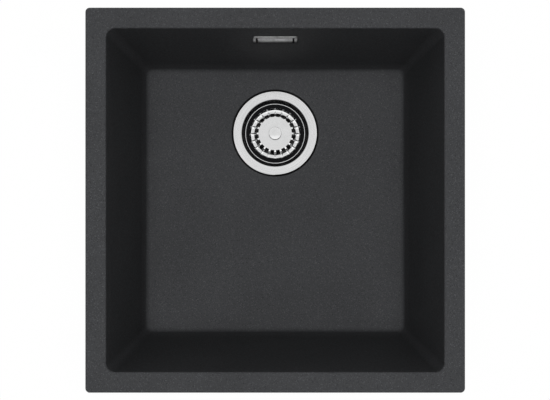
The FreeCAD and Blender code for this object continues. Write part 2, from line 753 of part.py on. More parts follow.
def make_flange_seal():
    outer_r = s.flange_r - s.seal_inset
    inner_r = outer_r - s.flange_seal_width
    return make_ring_seal("flange_seal", outer_r, inner_r, -s.sheet, s.flange_seal_thick)


def make_body_seal():
    outer_r = s.flange_r - s.seal_inset
    return make_ring_seal("body_seal", outer_r, body_bore_r, -s.floor_thick, s.body_seal_thick)


def make_waste_body():
    """The moulded body under the floor: flange, cone, outlet, spider with its boss, hose spigot."""
    body = at_waste(new_body("waste_body"))
    flange_foot = body_top - s.body_flange_thick
    rise = s.body_wall / 2
    outlet_end = -(cone_end + s.outlet_length)
    points = [
        (body_bore_r, body_top),
        (s.flange_r, body_top),
        (s.flange_r, flange_foot),
        (body_r, flange_foot),
        (body_r, arm_foot),
        (s.outlet_r, -cone_end),
        (s.outlet_r, outlet_end),
        (outlet_bore_r, outlet_end),
        (outlet_bore_r, rise - cone_end),
        (body_bore_r, arm_foot + rise),
    ]
    spin(body, "moulded_wall", points)
    chamfer(body, "outlet_chamfer", ring_at(s.outlet_r, outlet_end), s.outlet_chamfer)
    fillet(body, "flange_round", ring_at(s.flange_r, flange_foot), s.moulded_round)
    add_ribs(body, flange_foot)
    add_spider(body)
    add_hose_spigot(body)
    return body


def add_ribs(body, flange_foot):
    """Stiffening ribs between the clamping flange and the wall."""
    rib = new_sketch(body, "rib_outline", "XZ_Plane")
    within = s.body_wall / 2
    corners = [
        (body_r - within, flange_foot + within),
        (s.flange_r - within, flange_foot + within),
        (body_r - within, flange_foot - s.rib_height),
    ]
    feature = centred(pad(body, draw_outline(rib, corners), s.rib_thick, "rib"))
    around(body, feature, s.rib_count, "ribs")


def add_spider(body):
    """Four arms across the body that carry the boss for the brass nut."""
    reach = (body_bore_r + s.body_wall / 2) * 2
    for name, across, along in (("arm_x", reach, s.arm_thick), ("arm_y", s.arm_thick, reach)):
        half_x, half_y = across / 2, along / 2
        corners = [(half_x, half_y), (-half_x, half_y), (-half_x, -half_y), (half_x, -half_y)]
        sketch = draw_outline(new_sketch(body, name + "_outline", lift=arm_foot), corners)
        pad(body, sketch, s.arm_height, name)
    boss = draw_circle(new_sketch(body, "boss_outline", lift=boss_top), s.boss_r)
    pad(body, boss, s.boss_height, "boss", back=True)
    seat = draw_circle(new_sketch(body, "nut_seat", lift=boss_top), s.nut_r)
    pocket(body, seat, s.nut_length, "nut_pocket")
    tail = draw_circle(new_sketch(body, "screw_way", lift=boss_top), screw_hole_r)
    pocket(body, tail, s.nut_length + s.screw_tail + s.stem_gap, "screw_pocket")


def add_hose_spigot(body):
    """The spigot at the back of the body that takes the overflow hose."""
    start = body_bore_r + s.body_wall / 2
    end = body_r + s.collar + s.barb_length
    collar = draw_circle(new_sketch(body, "collar_outline", "XZ_Plane", -start), collar_r, 0, -hose_drop)
    pad(body, collar, body_r + s.collar - start, "collar", back=True)
    spigot = draw_circle(new_sketch(body, "spigot_outline", "XZ_Plane", -start), barb_r, 0, -hose_drop)
    pad(body, spigot, end - start, "spigot", back=True)
    bore = draw_circle(new_sketch(body, "spigot_bore", "XZ_Plane", -end), barb_bore_r, 0, -hose_drop)
    pocket(body, bore, end - body_bore_r + s.overrun, "spigot_bore_cut", forward=True)


def make_body_nut():
    """The brass nut moulded into the boss."""
    body = at_waste(new_body("body_nut"))
    ring = draw_ring(new_sketch(body, "ring", lift=boss_top), s.nut_r, s.screw_r)
    pad(body, ring, s.nut_length, "length", back=True)
    return body


def make_stem_catch():
    """The socket on the cup's bottom that grips the stem, held by the clamping screw."""
    body = at_waste(new_body("stem_catch"))
    rim = s.catch_height - s.cup_depth
    points = [
        (screw_hole_r, -s.cup_depth),
        (catch_r, -s.cup_depth),
        (catch_r, rim),
        (catch_bore_r, rim),
        (catch_bore_r, screw_seat),
        (screw_hole_r, screw_seat),
    ]
    spin(body, "socket", points)
    chamfer(body, "lead_in", ring_at(catch_bore_r, rim), s.catch_chamfer)
    fillet(body, "outer_round", ring_at(catch_r, rim), s.moulded_round)
    return body


def make_clamp_screw():
    """The screw from the cup down into the brass nut."""
    body = at_waste(new_body("clamp_screw"))
    end = boss_top - s.nut_length - s.screw_tail
    head_top = screw_seat + s.screw_head
    head_r = catch_bore_r - s.screw_head_gap
    points = [
        (0, head_top),
        (head_r, head_top),
        (head_r, screw_seat),
        (s.screw_r, screw_seat),
        (s.screw_r, end),
        (0, end),
    ]
    spin(body, "turned", points)
    socket = draw_hexagon(new_sketch(body, "drive", lift=head_top), s.screw_socket_across)
    pocket(body, socket, s.screw_socket_depth, "drive_socket")
    return body


# The lift-out basket with its stem and knob
def make_strainer_basket():
    """The pressed basket: edge bead, flat ledge, wall, round trough, and a crown with its slots.

    The basket is turned by half a slot's pitch, so that a bar and not a slot faces the rear wall.
    """
    body = at_waste(new_body("strainer_basket"))
    half_pitch = Size(180 / float(slot_count), f"180 deg / {slot_count.formula}")
    body.Placement = FreeCAD.Placement(body.Placement.Base, FreeCAD.Rotation(UP, float(half_pitch)))
    bind(body, "Placement.Rotation.Angle", half_pitch)
    edge = basket_edge
    hole = s.shank_r + s.shank_fit
    skin = s.basket_sheet
    points = [
        (basket_r, basket_under),
        (basket_r, edge + s.bead),
        (basket_r - skin, edge + s.bead),
        (basket_r - skin, edge),
        (basket_wall_r - skin, edge),
        (basket_foot_r - skin, skin - s.trough_depth),
        (crown_foot_r, skin - s.trough_depth),
        (crown_r, -s.crown_drop),
        (hole, -s.crown_drop),
        (hole, -(s.crown_drop + skin)),
        (crown_r - skin, -(s.crown_drop + skin)),
        (crown_foot_r - skin, -s.trough_depth),
        (basket_foot_r, -s.trough_depth),
        (basket_wall_r, basket_under),
    ]
    spin(body, "pressed", points)
    inner = any_of(
        ring_at(basket_foot_r - skin, skin - s.trough_depth), ring_at(crown_foot_r, skin - s.trough_depth)
    )
    fillet(body, "trough", inner, s.trough_round)
    outer = any_of(ring_at(basket_foot_r, -s.trough_depth), ring_at(crown_foot_r - skin, -s.trough_depth))
    fillet(body, "trough_under", outer, s.trough_round + skin)
    fillet(body, "wall_top", ring_at(basket_wall_r - skin, edge), s.crown_round)
    fillet(body, "crown_edge", ring_at(crown_r, -s.crown_drop), s.crown_round)
    slot = new_sketch(body, "slot_outline", lift=s.overrun - s.crown_drop)
    half = s.slot_width / 2
    reach = crown_foot_r
    corners = [(slot_start_r, half), (slot_start_r, -half), (reach, -half), (reach, half)]
    depth = s.overrun + s.trough_depth - s.crown_drop - s.slot_sill
    around(body, pocket(body, draw_outline(slot, corners), depth, "slot"), slot_count, "slots")
    return body


def make_basket_seal():
    """The rubber ring under the basket's edge, with a lip round it."""
    body = at_waste(new_body("basket_seal"))
    outer_r = cup_r - s.basket_seal_gap
    inner_r = basket_wall_r + s.seal_fit
    step_r = basket_r + s.seal_fit
    lip = basket_edge + s.basket_seal_lip
    points = [
        (inner_r, seal_foot),
        (outer_r, seal_foot),
        (outer_r, lip),
        (step_r, lip),
        (step_r, basket_under),
        (inner_r, basket_under),
    ]
    spin(body, "moulded", points)
    return body


def make_basket_inlay():
    """The rubber ring that lies on the basket's ledge, inside the bead."""
    skin = s.basket_sheet
    outer_r = basket_r - skin - s.seal_fit
    top = basket_edge + s.inlay_thick
    return make_ring_seal("basket_inlay", outer_r, basket_wall_r - skin, top, s.inlay_thick)


def make_basket_knob():
    """The knob above the crown, with the shank on which the basket turns."""
    body = at_waste(new_body("basket_knob"))
    cap_foot = shank_top + s.knob_neck
    cap_top = cap_foot + s.knob_cap
    points = [
        (0, cap_top),
        (s.knob_r, cap_top),
        (s.knob_r, cap_foot),
        (s.knob_neck_r, cap_foot),
        (s.knob_neck_r, shank_top),
        (s.shank_r, shank_top),
        (s.shank_r, shank_top - s.shank_length),
        (0, shank_top - s.shank_length),
    ]
    spin(body, "turned", points)
    rims = any_of(ring_at(s.knob_r, cap_top), ring_at(s.knob_r, cap_foot))
    fillet(body, "cap_rounds", rims, s.knob_round)
    fillet(body, "neck_round", ring_at(s.knob_neck_r, cap_foot), s.knob_round)
    return body


def make_basket_stem():
    """The stem under the crown, bored for the knob's shank and grooved for its ring."""
    body = at_waste(new_body("basket_stem"))
    head_foot = stem_top - s.stem_head
    bore_end = shank_top - s.shank_length - s.shank_play
    bore_r = s.shank_r + s.shank_fit
    points = [
        (bore_r, stem_top),
        (s.stem_head_r, stem_top),
        (s.stem_head_r, head_foot),
        (s.stem_r, head_foot),
        (s.stem_r, stem_end),
        (0, stem_end),
        (0, bore_end),
        (bore_r, bore_end),
    ]
    spin(body, "turned", points)
    chamfer(body, "end_chamfer", ring_at(s.stem_r, stem_end), s.stem_chamfer)
    half = s.ring_wire_r + s.ring_fit
    line = stem_end + s.ring_rise
    square = [
        (ring_line_r - half, line - half),
        (s.stem_r + s.overrun, line - half),
        (s.stem_r + s.overrun, line + half),
        (ring_line_r - half, line + half),
    ]
    groove(body, "ring_groove", square)
    return body


def make_stem_ring():
    """The rubber ring in the stem's groove, which grips the catch."""
    ring = doc.addObject("Part::Torus", "stem_ring")
    ring.Label = "stem_ring"
    bind(ring, "Radius1", ring_line_r)
    bind(ring, "Radius2", s.ring_wire_r)
    bind(ring, "Placement.Base.y", waste_at_y)
    bind(ring, "Placement.Base.z", stem_end + s.ring_rise - s.bowl_depth)
    return ring


# The overflow
def draw_wedge(body, name, skin):
    """The cover's section seen from its end, drawn a skin inside its outer faces.

    The front leans, with its upper edge nearest to the wall, and a lip below it bends back.
    """
    half = cover_y / 2 - skin
    front = s.cover_proud - skin
    corners = [
        (-half, 0),
        (half, 0),
        (half, s.cover_top_proud - skin),
        (-(half - s.cover_lip), front),
        (-half, front - s.cover_lip_back),
    ]
    return draw_outline(new_sketch(body, name, "YZ_Plane"), corners)


def upright_at(across, up):
    """Picks the straight edges off the wall at a distance from the middle, each way."""
    def picked(edge):
        bound = edge.BoundBox
        stands = same(bound.XMin, bound.XMax) and same(bound.YMin, bound.YMax)
        return stands and same(abs(bound.XMin), across) and same(abs(bound.YMin), up)
    return picked


def make_overflow_cover():
    """The pressed plate in front of the overflow hole, with a slot near each end and two studs."""
    body = at_overflow(new_body("overflow_cover"))
    skin = s.cover_sheet
    centred(pad(body, draw_wedge(body, "end_outline", 0), cover_x, "plate"))
    fillet(body, "corners", upright_at(cover_x / 2, cover_y / 2), s.cover_corner)
    off_wall = float(s.cover_top_proud) / 2
    fillet(body, "front_edge", lambda edge: edge.BoundBox.ZMin > off_wall, s.cover_round)
    inside_x = cover_x - skin * 2
    centred(pocket(body, draw_wedge(body, "inside_outline", skin), inside_x, "inside"))
    fillet(body, "inner_corners", upright_at(inside_x / 2, cover_y / 2 - skin), s.cover_corner - skin)
    middle = cover_x / 2 - s.cover_tab - s.cover_slot_width / 2
    slot_y = cover_y - s.cover_slot_end * 2
    for name, across in (("left_slot", -middle), ("right_slot", middle)):
        sketch = new_sketch(body, name + "_outline", lift=s.cover_proud)
        draw_rounded(sketch, s.cover_slot_width, slot_y, s.cover_slot_width / 3, across)
        pocket(body, sketch, s.cover_proud, name)
    for name, across in (("left_stud", -s.stud_x), ("right_stud", s.stud_x)):
        start = cover_middle_proud - skin / 2
        sketch = draw_circle(new_sketch(body, name + "_outline", lift=start), s.stud_r, across)
        pad(body, sketch, start - stud_end, name, back=True)
    return body


def make_overflow_seal():
    """The seal between the rear wall and the overflow head."""
    body = at_overflow(new_body("overflow_seal"))
    outline = new_sketch(body, "outline", lift=wall_back)
    inset = s.seal_inset * 2
    draw_rounded(outline, head_x - inset, head_y - inset, s.head_corner - s.seal_inset)
    pad(body, outline, s.head_seal, "thickness", back=True)
    opening = new_sketch(body, "opening_outline", lift=wall_back)
    draw_rounded(opening, s.overflow_x, s.overflow_y, s.overflow_corner)
    pocket(body, opening, s.head_seal, "opening")
    return body


def make_overflow_head():
    """The moulded chamber behind the wall, with bosses for the studs and a spigot for the hose."""
    body = at_overflow(new_body("overflow_head"))
    plate = new_sketch(body, "flange_outline", lift=head_face)
    pad(body, draw_rounded(plate, head_x, head_y, s.head_corner), s.head_flange, "flange", back=True)
    wall = s.head_wall * 2
    box = new_sketch(body, "chamber_outline", lift=head_face)
    draw_rounded(box, s.overflow_x + wall, s.overflow_y + wall, s.overflow_corner + s.head_wall)
    pad(body, box, head_face - head_back, "chamber", back=True)
    inside = new_sketch(body, "inside_outline", lift=head_face)
    draw_rounded(inside, s.overflow_x, s.overflow_y, s.overflow_corner)
    pocket(body, inside, head_face - head_back - s.head_wall, "inside")
    for name, across in (("left", -s.stud_x), ("right", s.stud_x)):
        boss = draw_circle(new_sketch(body, name + "_boss_outline", lift=head_back), s.head_boss_r, across)
        pad(body, boss, head_face - head_back, name + "_boss")
        way = new_sketch(body, name + "_stud_way", lift=head_face)
        draw_circle(way, s.stud_r + s.stud_gap, across)
        pocket(body, way, head_face - head_back, name + "_stud_hole")
    start = s.overflow_y / 2 + s.head_wall / 2
    end = s.barb_length - head_collar_end
    collar = draw_circle(new_sketch(body, "collar_outline", "XZ_Plane", start), collar_r, 0, hose_line)
    pad(body, collar, -head_collar_end - start, "collar")
    spigot = draw_circle(new_sketch(body, "spigot_outline", "XZ_Plane", start), barb_r, 0, hose_line)
    pad(body, spigot, end - start, "spigot")
    bore = draw_circle(new_sketch(body, "spigot_bore", "XZ_Plane", end), barb_bore_r, 0, hose_line)
    pocket(body, bore, end - s.overflow_y / 2 + s.overrun, "spigot_bore_cut")
    return body


def make_stud_pieces(label, top, thick, outline):
    """A pair of flat pieces with round holes on the studs behind the head, as two solids."""
    shapes = []
    for side in (-1, 1):
        centre = FreeCAD.Vector(side * float(s.stud_x), 0, float(top))
        hole = Part.Face(Part.Wire(Part.Circle(centre, UP, float(s.stud_r)).toShape()))
        shapes.append(Part.Face(outline(centre)).cut(hole).extrude(UP * -float(thick)))
    return at_overflow(feature_of(label, Part.makeCompound(shapes)))


def make_overflow_washers():
    """The washers between the head and the nuts."""

    def rim(centre):
        return Part.Wire(Part.Circle(centre, UP, float(s.washer_r)).toShape())

    return make_stud_pieces("overflow_washers", head_back, s.washer, rim)


def make_overflow_nuts():
    """The nuts on the cover's studs."""
    corner_r = float(s.nut_across) / math.sqrt(3)

    def hexagon(centre):
        turns = [i * math.pi / 3 for i in range(7)]
        return Part.makePolygon([centre + flat(math.cos(a), math.sin(a)) * corner_r for a in turns])

    return make_stud_pieces("overflow_nuts", head_back - s.washer, s.nut_height, hexagon)


# The hose from the overflow to the waste body
class HosePath:
    """The hose's middle line: down behind the wall, round one bend, and forward to the waste body."""

    def __init__(self, wall_place):
        self.radius = float(hose_bend_r)
        self.start = wall_place.multVec(FreeCAD.Vector(0, float(head_collar_end), float(hose_line)))
        self.down = wall_place.Rotation.multVec(FreeCAD.Vector(0, -1, 0))
        self.ahead = FreeCAD.Vector(0, -1, 0)
        self.end = FreeCAD.Vector(0, float(hose_end_y), -float(s.bowl_depth + hose_drop))
        self.turn = self.down.getAngle(self.ahead)
        corner = self.start + self.down * ((self.end.z - self.start.z) / self.down.z)
        tangent = self.radius * math.tan(self.turn / 2)
        self.bend_start = corner - self.down * tangent
        self.bend_end = corner + self.ahead * tangent
        self.inward = (self.ahead - self.down * self.down.dot(self.ahead)).normalize()
        self.first = (self.bend_start - self.start).Length
        self.bend = self.radius * self.turn
        self.last = (self.end - self.bend_end).Length
        self.length = self.first + self.bend + self.last

    def at(self, distance):
        """The point on the line at a distance along it, and the direction there."""
        if distance <= self.first:
            return self.start + self.down * distance, self.down
        if distance >= self.first + self.bend:
            return self.bend_end + self.ahead * (distance - self.first - self.bend), self.ahead
        angle = (distance - self.first) / self.radius
        centre = self.bend_start + self.inward * self.radius
        point = centre + (self.down * math.sin(angle) - self.inward * math.cos(angle)) * self.radius
        return point, self.down * math.cos(angle) + self.inward * math.sin(angle)

    def circle(self, distance, radius):
        """A circle square to the line, its X axis always along the bowl's X axis."""
        point, direction = self.at(distance)
        circle = Part.Circle(point, direction, float(radius))
        circle.XAxis = ALONG_X
        return Part.Wire(circle.toShape())

    def wire(self):
        """The line itself: a straight run, an arc and a straight run."""
        middle = self.at(self.first + self.bend / 2)[0]
        runs = [Part.LineSegment(self.start, self.bend_start), Part.LineSegment(self.bend_end, self.end)]
        arc = Part.Arc(self.bend_start, middle, self.bend_end)
        return Part.Wire([runs[0].toShape(), arc.toShape(), runs[1].toShape()])


def make_overflow_hose(head):
    """The ribbed hose, plain at its cuffs, with its bore."""
    path = HosePath(head.Placement)
    cuff = float(s.hose_cuff)
    ribbed = path.length - cuff * 2
    count = round(ribbed / float(s.hose_pitch))
    pitch = ribbed / count
    circles = [path.circle(0, hose_root_r)]
    for i in range(count):
        for share, radius in zip(RIB_SHARES, (hose_root_r, hose_r, hose_r, hose_root_r)):
            circles.append(path.circle(cuff + (i + share) * pitch, radius))
    circles.append(path.circle(path.length, hose_root_r))
    outside = Part.makeLoft(circles, True, True)
    bore = path.wire().makePipeShell([path.circle(0, s.hose_bore_r)], True, False)
    hose = outside.cut(bore)
    bore_volume = math.pi * float(s.hose_bore_r) ** 2 * path.length
    print(f"hose: {path.length:.1f} mm long, {count} ribs, bend radius {path.radius:.1f}, "
          f"straight ends {path.first:.1f} and {path.last:.1f}")
    print(f"hose bore against its section times its length: {bore.Volume / bore_volume:.4f}")
    return feature_of("overflow_hose", hose)


def draw_clip(body, lift, up):
    """A spring clip round the hose, its ears on the side away from the bowl."""
    inner_r = hose_root_r + s.clip_fit
    outer_r = inner_r + s.clip_band
    band = new_sketch(body, "band_outline", "XZ_Plane", lift)
    draw_circle(band, outer_r, 0, up)
    draw_circle(band, inner_r, 0, up)
    pad(body, band, s.clip_width, "band")
    half = s.clip_mouth / 2
    ears = new_sketch(body, "ears_outline", "XZ_Plane", lift)
    ears_end = up - outer_r - s.clip_ear
    draw_outline(ears, box_corners(half + s.clip_band, up - inner_r - s.clip_band / 2, ears_end))
    pad(body, ears, s.clip_width, "ears")
    mouth = new_sketch(body, "mouth_outline", "XZ_Plane", lift)
    draw_outline(mouth, box_corners(half, up, ears_end - s.overrun))
    pocket(body, mouth, s.clip_width, "mouth", forward=True)
    return body


def box_corners(half_width, top, bottom):
    """The corners of an upright box about a sketch's upright axis."""
    return [(half_width, top), (-half_width, top), (-half_width, bottom), (half_width, bottom)]


def make_hose_clip_upper():
    middle = s.hose_cuff / 2 - s.clip_width / 2
    return draw_clip(at_overflow(new_body("hose_clip_upper")), middle - head_collar_end, hose_line)


def make_hose_clip_lower():
    middle = s.hose_cuff / 2 + s.clip_width / 2
    lift = -(body_r + s.collar + middle)
    return draw_clip(at_waste(new_body("hose_clip_lower")), lift, -hose_drop)


# Building, checking and writing
def make_parts():
    head = make_overflow_head()
    return [
        make_sink_bowl(),
        make_rim_inserts(),
        make_waste_flange(),
        make_flange_seal(),
        make_body_seal(),
        make_waste_body(),
        make_body_nut(),
        make_stem_catch(),
        make_clamp_screw(),
        make_strainer_basket(),
        make_basket_seal(),
        make_basket_inlay(),
        make_basket_knob(),
        make_basket_stem(),
        make_stem_ring(),
        make_overflow_cover(),
        make_overflow_seal(),
        head,
        make_overflow_washers(),
        make_overflow_nuts(),
        make_overflow_hose(head),
        make_hose_clip_upper(),
        make_hose_clip_lower(),
    ]


def check(parts):
    """Stops with a message if an object failed or a sub-part has no sound solid."""
    for thing in doc.Objects:
        if "Invalid" in thing.State or "Error" in thing.State:
            raise ValueError(f"{thing.Label} failed: {thing.State}")
    for part in parts:
        if part.Shape.isNull() or not part.Shape.isValid() or not part.Shape.Solids:
            raise ValueError(f"{part.Label} has no sound solid")


def write(parts):
    os.makedirs("parts", exist_ok=True)
    for part in parts:
        part.Shape.exportStep(f"parts/{part.Label}.step")
        print(f"{part.Label}: {len(part.Shape.Solids)} solid, {part.Shape.Volume / 1000:.2f} cm3")


parts = make_parts()
doc.recompute()
check(parts)
write(parts)
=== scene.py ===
import math

import bpy
from bpy.props import FloatProperty, FloatVectorProperty, IntProperty, PointerProperty
from bpy.types import Operator, Panel, PropertyGroup
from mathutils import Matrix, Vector


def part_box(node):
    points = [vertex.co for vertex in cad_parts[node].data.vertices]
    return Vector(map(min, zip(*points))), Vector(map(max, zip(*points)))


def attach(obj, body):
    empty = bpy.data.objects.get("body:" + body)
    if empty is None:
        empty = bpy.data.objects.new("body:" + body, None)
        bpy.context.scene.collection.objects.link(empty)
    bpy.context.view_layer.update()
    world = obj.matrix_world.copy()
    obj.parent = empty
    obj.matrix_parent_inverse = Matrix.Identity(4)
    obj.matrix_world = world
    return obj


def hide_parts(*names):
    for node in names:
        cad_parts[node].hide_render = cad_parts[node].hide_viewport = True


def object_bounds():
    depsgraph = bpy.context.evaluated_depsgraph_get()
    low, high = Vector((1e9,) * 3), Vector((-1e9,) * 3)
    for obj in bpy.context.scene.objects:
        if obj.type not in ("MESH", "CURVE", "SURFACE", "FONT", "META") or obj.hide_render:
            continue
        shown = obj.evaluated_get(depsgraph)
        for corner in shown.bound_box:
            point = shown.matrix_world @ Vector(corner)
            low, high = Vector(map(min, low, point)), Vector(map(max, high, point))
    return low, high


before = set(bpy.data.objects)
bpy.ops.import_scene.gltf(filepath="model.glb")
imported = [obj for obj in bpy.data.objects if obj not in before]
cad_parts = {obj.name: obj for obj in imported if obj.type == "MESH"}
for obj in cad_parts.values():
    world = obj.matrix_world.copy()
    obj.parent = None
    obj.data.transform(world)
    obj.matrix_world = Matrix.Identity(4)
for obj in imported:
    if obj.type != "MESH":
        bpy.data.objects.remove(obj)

bl_info = {
    "name": "Kitchen Sink Looks",
    "version": (1, 0, 0),
    "blender": (4, 5, 0),
    "location": "3D View > Sidebar > Sink",
    "description": "Finishes and small shapes of an undermount kitchen sink round its packed model",
    "category": "Object",
}

CAD_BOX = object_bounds()

KNOB_LOW, KNOB_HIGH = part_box("basket_knob")
BASKET_LOW, BASKET_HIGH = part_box("strainer_basket")
# The waste's axis is the knob's own, and heights on it are measured from the rim
WASTE_AXIS = ((KNOB_LOW[0] + KNOB_HIGH[0]) / 2, (KNOB_LOW[1] + KNOB_HIGH[1]) / 2, 0.0)
FLANGE_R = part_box("waste_flange")[1][0]
COVER_LOW, COVER_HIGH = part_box("overflow_cover")
UPWARDS = (0.0, 0.0, 1.0)
FULL_TURN = 2 * math.pi


# Sizes and colours that a user may change

class StoneFinish(PropertyGroup):
    body_colour: FloatVectorProperty(
        name="Body colour", description="Colour of the resin between the grains",
        subtype="COLOR", size=4, default=(0.0385, 0.0395, 0.0416, 1))
    light_grain: FloatVectorProperty(
        name="Light grain", description="Colour of the palest quartz grains",
        subtype="COLOR", size=4, default=(0.075, 0.076, 0.080, 1))
    dark_grain: FloatVectorProperty(
        name="Dark grain", description="Colour of the darkest quartz grains",
        subtype="COLOR", size=4, default=(0.018, 0.018, 0.019, 1))
    grain_size: FloatProperty(
        name="Grain size", description="Usual width of a quartz grain",
        default=0.0007, min=0.0001, unit="LENGTH")
    # Painted shade: the stone is darkened in a ring round the flange, standing in for the shade in the gap
    gap_shade_width: FloatProperty(
        name="Painted gap shade width", description="Width of the painted shade in the gap round the flange",
        default=0.0018, min=0.0001, unit="LENGTH")


class SteelFinish(PropertyGroup):
    flange_colour: FloatVectorProperty(
        name="Flange colour", description="Colour of the brushed ring and the overflow cover",
        subtype="COLOR", size=4, default=(0.885, 0.888, 0.892, 1))
    basket_colour: FloatVectorProperty(
        name="Basket colour", description="Colour of the polished basket and its knob",
        subtype="COLOR", size=4, default=(0.84, 0.843, 0.846, 1))
    # Painted shade: the steel is darkened inside the level ring, down in the cup, and over the turned outer
    # edge
    flange_land: FloatProperty(
        name="Flange land", description="Width of the flange's level ring, inside which the cup turns down",
        default=0.0108, min=0.001, unit="LENGTH")
    flange_edge_shade: FloatProperty(
        name="Flange edge shade", description="Width of the painted shade on the flange's turned edge",
        default=0.0008, min=0.0001, unit="LENGTH")
    fastener_colour: FloatVectorProperty(
        name="Fastener colour", description="Colour of screws, nuts, washers and clips",
        subtype="COLOR", size=4, default=(0.58, 0.58, 0.59, 1))
    brush_pitch: FloatProperty(
        name="Brush pitch", description="Distance between the lines that the brush leaves",
        default=0.0003, min=0.00005, unit="LENGTH")


class PlasticFinish(PropertyGroup):
    body_colour: FloatVectorProperty(
        name="Moulded plastic", description="Colour of the waste body, the catch and the overflow head",
        subtype="COLOR", size=4, default=(0.026, 0.026, 0.028, 1))
    hose_colour: FloatVectorProperty(
        name="Hose plastic", description="Colour of the corrugated hose",
        subtype="COLOR", size=4, default=(0.32, 0.33, 0.34, 1))
    rubber_colour: FloatVectorProperty(
        name="Rubber", description="Colour of the seals",
        subtype="COLOR", size=4, default=(0.004, 0.004, 0.0045, 1))
    brass_colour: FloatVectorProperty(
        name="Brass", description="Colour of the turned inserts and nuts",
        subtype="COLOR", size=4, default=(0.66, 0.47, 0.21, 1))


class BasketSizes(PropertyGroup):
    slot_count: IntProperty(
        name="Slots", description="Number of slots round the crown", default=20, min=4)
    sheet: FloatProperty(
        name="Sheet", description="Thickness of the pressed steel",
        default=0.0009, min=0.0002, unit="LENGTH")
    hole_r: FloatProperty(
        name="Hole radius", description="Hole in which the knob's shank stands",
        default=0.00306, min=0.001, unit="LENGTH")
    disc_r: FloatProperty(
        name="Disc radius", description="Radius of the crown's flat top",
        default=0.0216, min=0.005, unit="LENGTH")
    shoulder: FloatProperty(
        name="Shoulder", description="Radius of the shallow round from the disc to the crown's edge",
        default=0.012, min=0.001, unit="LENGTH")
    crown_r: FloatProperty(
        name="Crown radius", description="Radius of the crown at the top of its steep side",
        default=0.0266, min=0.005, unit="LENGTH")
    foot_r: FloatProperty(
        name="Foot radius", description="Radius at which the crown's side meets the trough",
        default=0.0280, min=0.005, unit="LENGTH")
    bed_r: FloatProperty(
        name="Bed radius", description="Outer radius of the trough's level bed",
        default=0.0310, min=0.005, unit="LENGTH")
    wall_r: FloatProperty(
        name="Wall radius", description="Inner radius of the basket's wall at its top",
        default=0.0353, min=0.005, unit="LENGTH")
    wall_lean: FloatProperty(
        name="Wall lean", description="How much the wall narrows down to the trough",
        default=0.0006, min=0.0, unit="LENGTH")
    ledge_drop: FloatProperty(
        name="Ledge drop", description="The crown's top down to the ledge",
        default=0.0039, min=0.001, unit="LENGTH")
    bead: FloatProperty(
        name="Bead", description="Height of the bead above the ledge",
        default=0.0009, min=0.0002, unit="LENGTH")
    slope: FloatProperty(
        name="Trough slope", description="Slope of the trough between its bed and the wall",
        default=math.radians(11), min=0, unit="ROTATION")
    trough_round: FloatProperty(
        name="Trough round", description="Radius of the round from the trough up into the wall",
        default=0.0025, min=0.0002, unit="LENGTH")
    ridge: FloatProperty(
        name="Ridge", description="Height of the pressed ridge between two flutes, over the trough's bed",
        default=0.0009, min=0, unit="LENGTH")
    ridge_end: FloatProperty(
        name="Ridge end", description="Height of that ridge where it meets the wall",
        default=0.0004, min=0, unit="LENGTH")
    columns: IntProperty(
        name="Columns", description="Faces across one slot and its bar", default=12, min=4)
    slot_columns: IntProperty(
        name="Slot columns", description="How many of those faces the slot takes", default=8, min=2)


class KnobSizes(PropertyGroup):
    cap_r: FloatProperty(
        name="Cap radius", description="Radius of the knob's cap",
        default=0.0084, min=0.001, unit="LENGTH")
    cap: FloatProperty(
        name="Cap", description="Thickness of the cap at its middle",
        default=0.003, min=0.001, unit="LENGTH")
    dome: FloatProperty(
        name="Dome", description="Slope of the cap's top at its edge",
        default=math.radians(11), min=0, unit="ROTATION")
    edge: FloatProperty(
        name="Edge", description="Small round on the cap's edge", default=0.0002, min=0, unit="LENGTH")
    neck_r: FloatProperty(
        name="Neck radius", description="Radius of the neck under the cap",
        default=0.005, min=0.001, unit="LENGTH")
    neck: FloatProperty(
        name="Neck", description="Height of the neck", default=0.0054, min=0.001, unit="LENGTH")
    shank_r: FloatProperty(
        name="Shank radius", description="Radius of the shank on which the basket turns",
        default=0.003, min=0.001, unit="LENGTH")


class HoseSizes(PropertyGroup):
    top_behind: FloatProperty(
        name="Top behind", description="The middle of the sink back to the middle of the hose's top",
        default=0.20536, min=0.01, unit="LENGTH")
    top_drop: FloatProperty(
        name="Top drop", description="The rim down to the hose's top",
        default=0.06482, min=0.01, unit="LENGTH")
    lean: FloatProperty(
        name="Lean", description="How far the straight run down the wall leans in",
        default=math.atan(0.072), min=0, unit="ROTATION")
    root_r: FloatProperty(
        name="Root radius", description="Outer radius between two ribs and at the cuffs",
        default=0.0083, min=0.001, unit="LENGTH")
    crest_r: FloatProperty(
        name="Crest radius", description="Outer radius on top of a rib",
        default=0.0095, min=0.001, unit="LENGTH")
    wall: FloatProperty(
        name="Wall", description="Thickness of the corrugated wall",
        default=0.0012, min=0.0002, unit="LENGTH")
    cuff: FloatProperty(
        name="Cuff", description="Length of the plain cuff at each end",
        default=0.016, min=0.001, unit="LENGTH")
    rib_count: IntProperty(
        name="Ribs", description="Number of ribs between the cuffs", default=43, min=2)
    drop: FloatProperty(
        name="Drop", description="Length of the straight run down the rear wall",
        default=0.1331, min=0.01, unit="LENGTH")
    bend_r: FloatProperty(
        name="Bend radius", description="Radius of the middle line in the bend",
        default=0.0359, min=0.01, unit="LENGTH")
    run: FloatProperty(
        name="Run", description="Length of the straight run onto the waste body",
        default=0.019, min=0.001, unit="LENGTH")


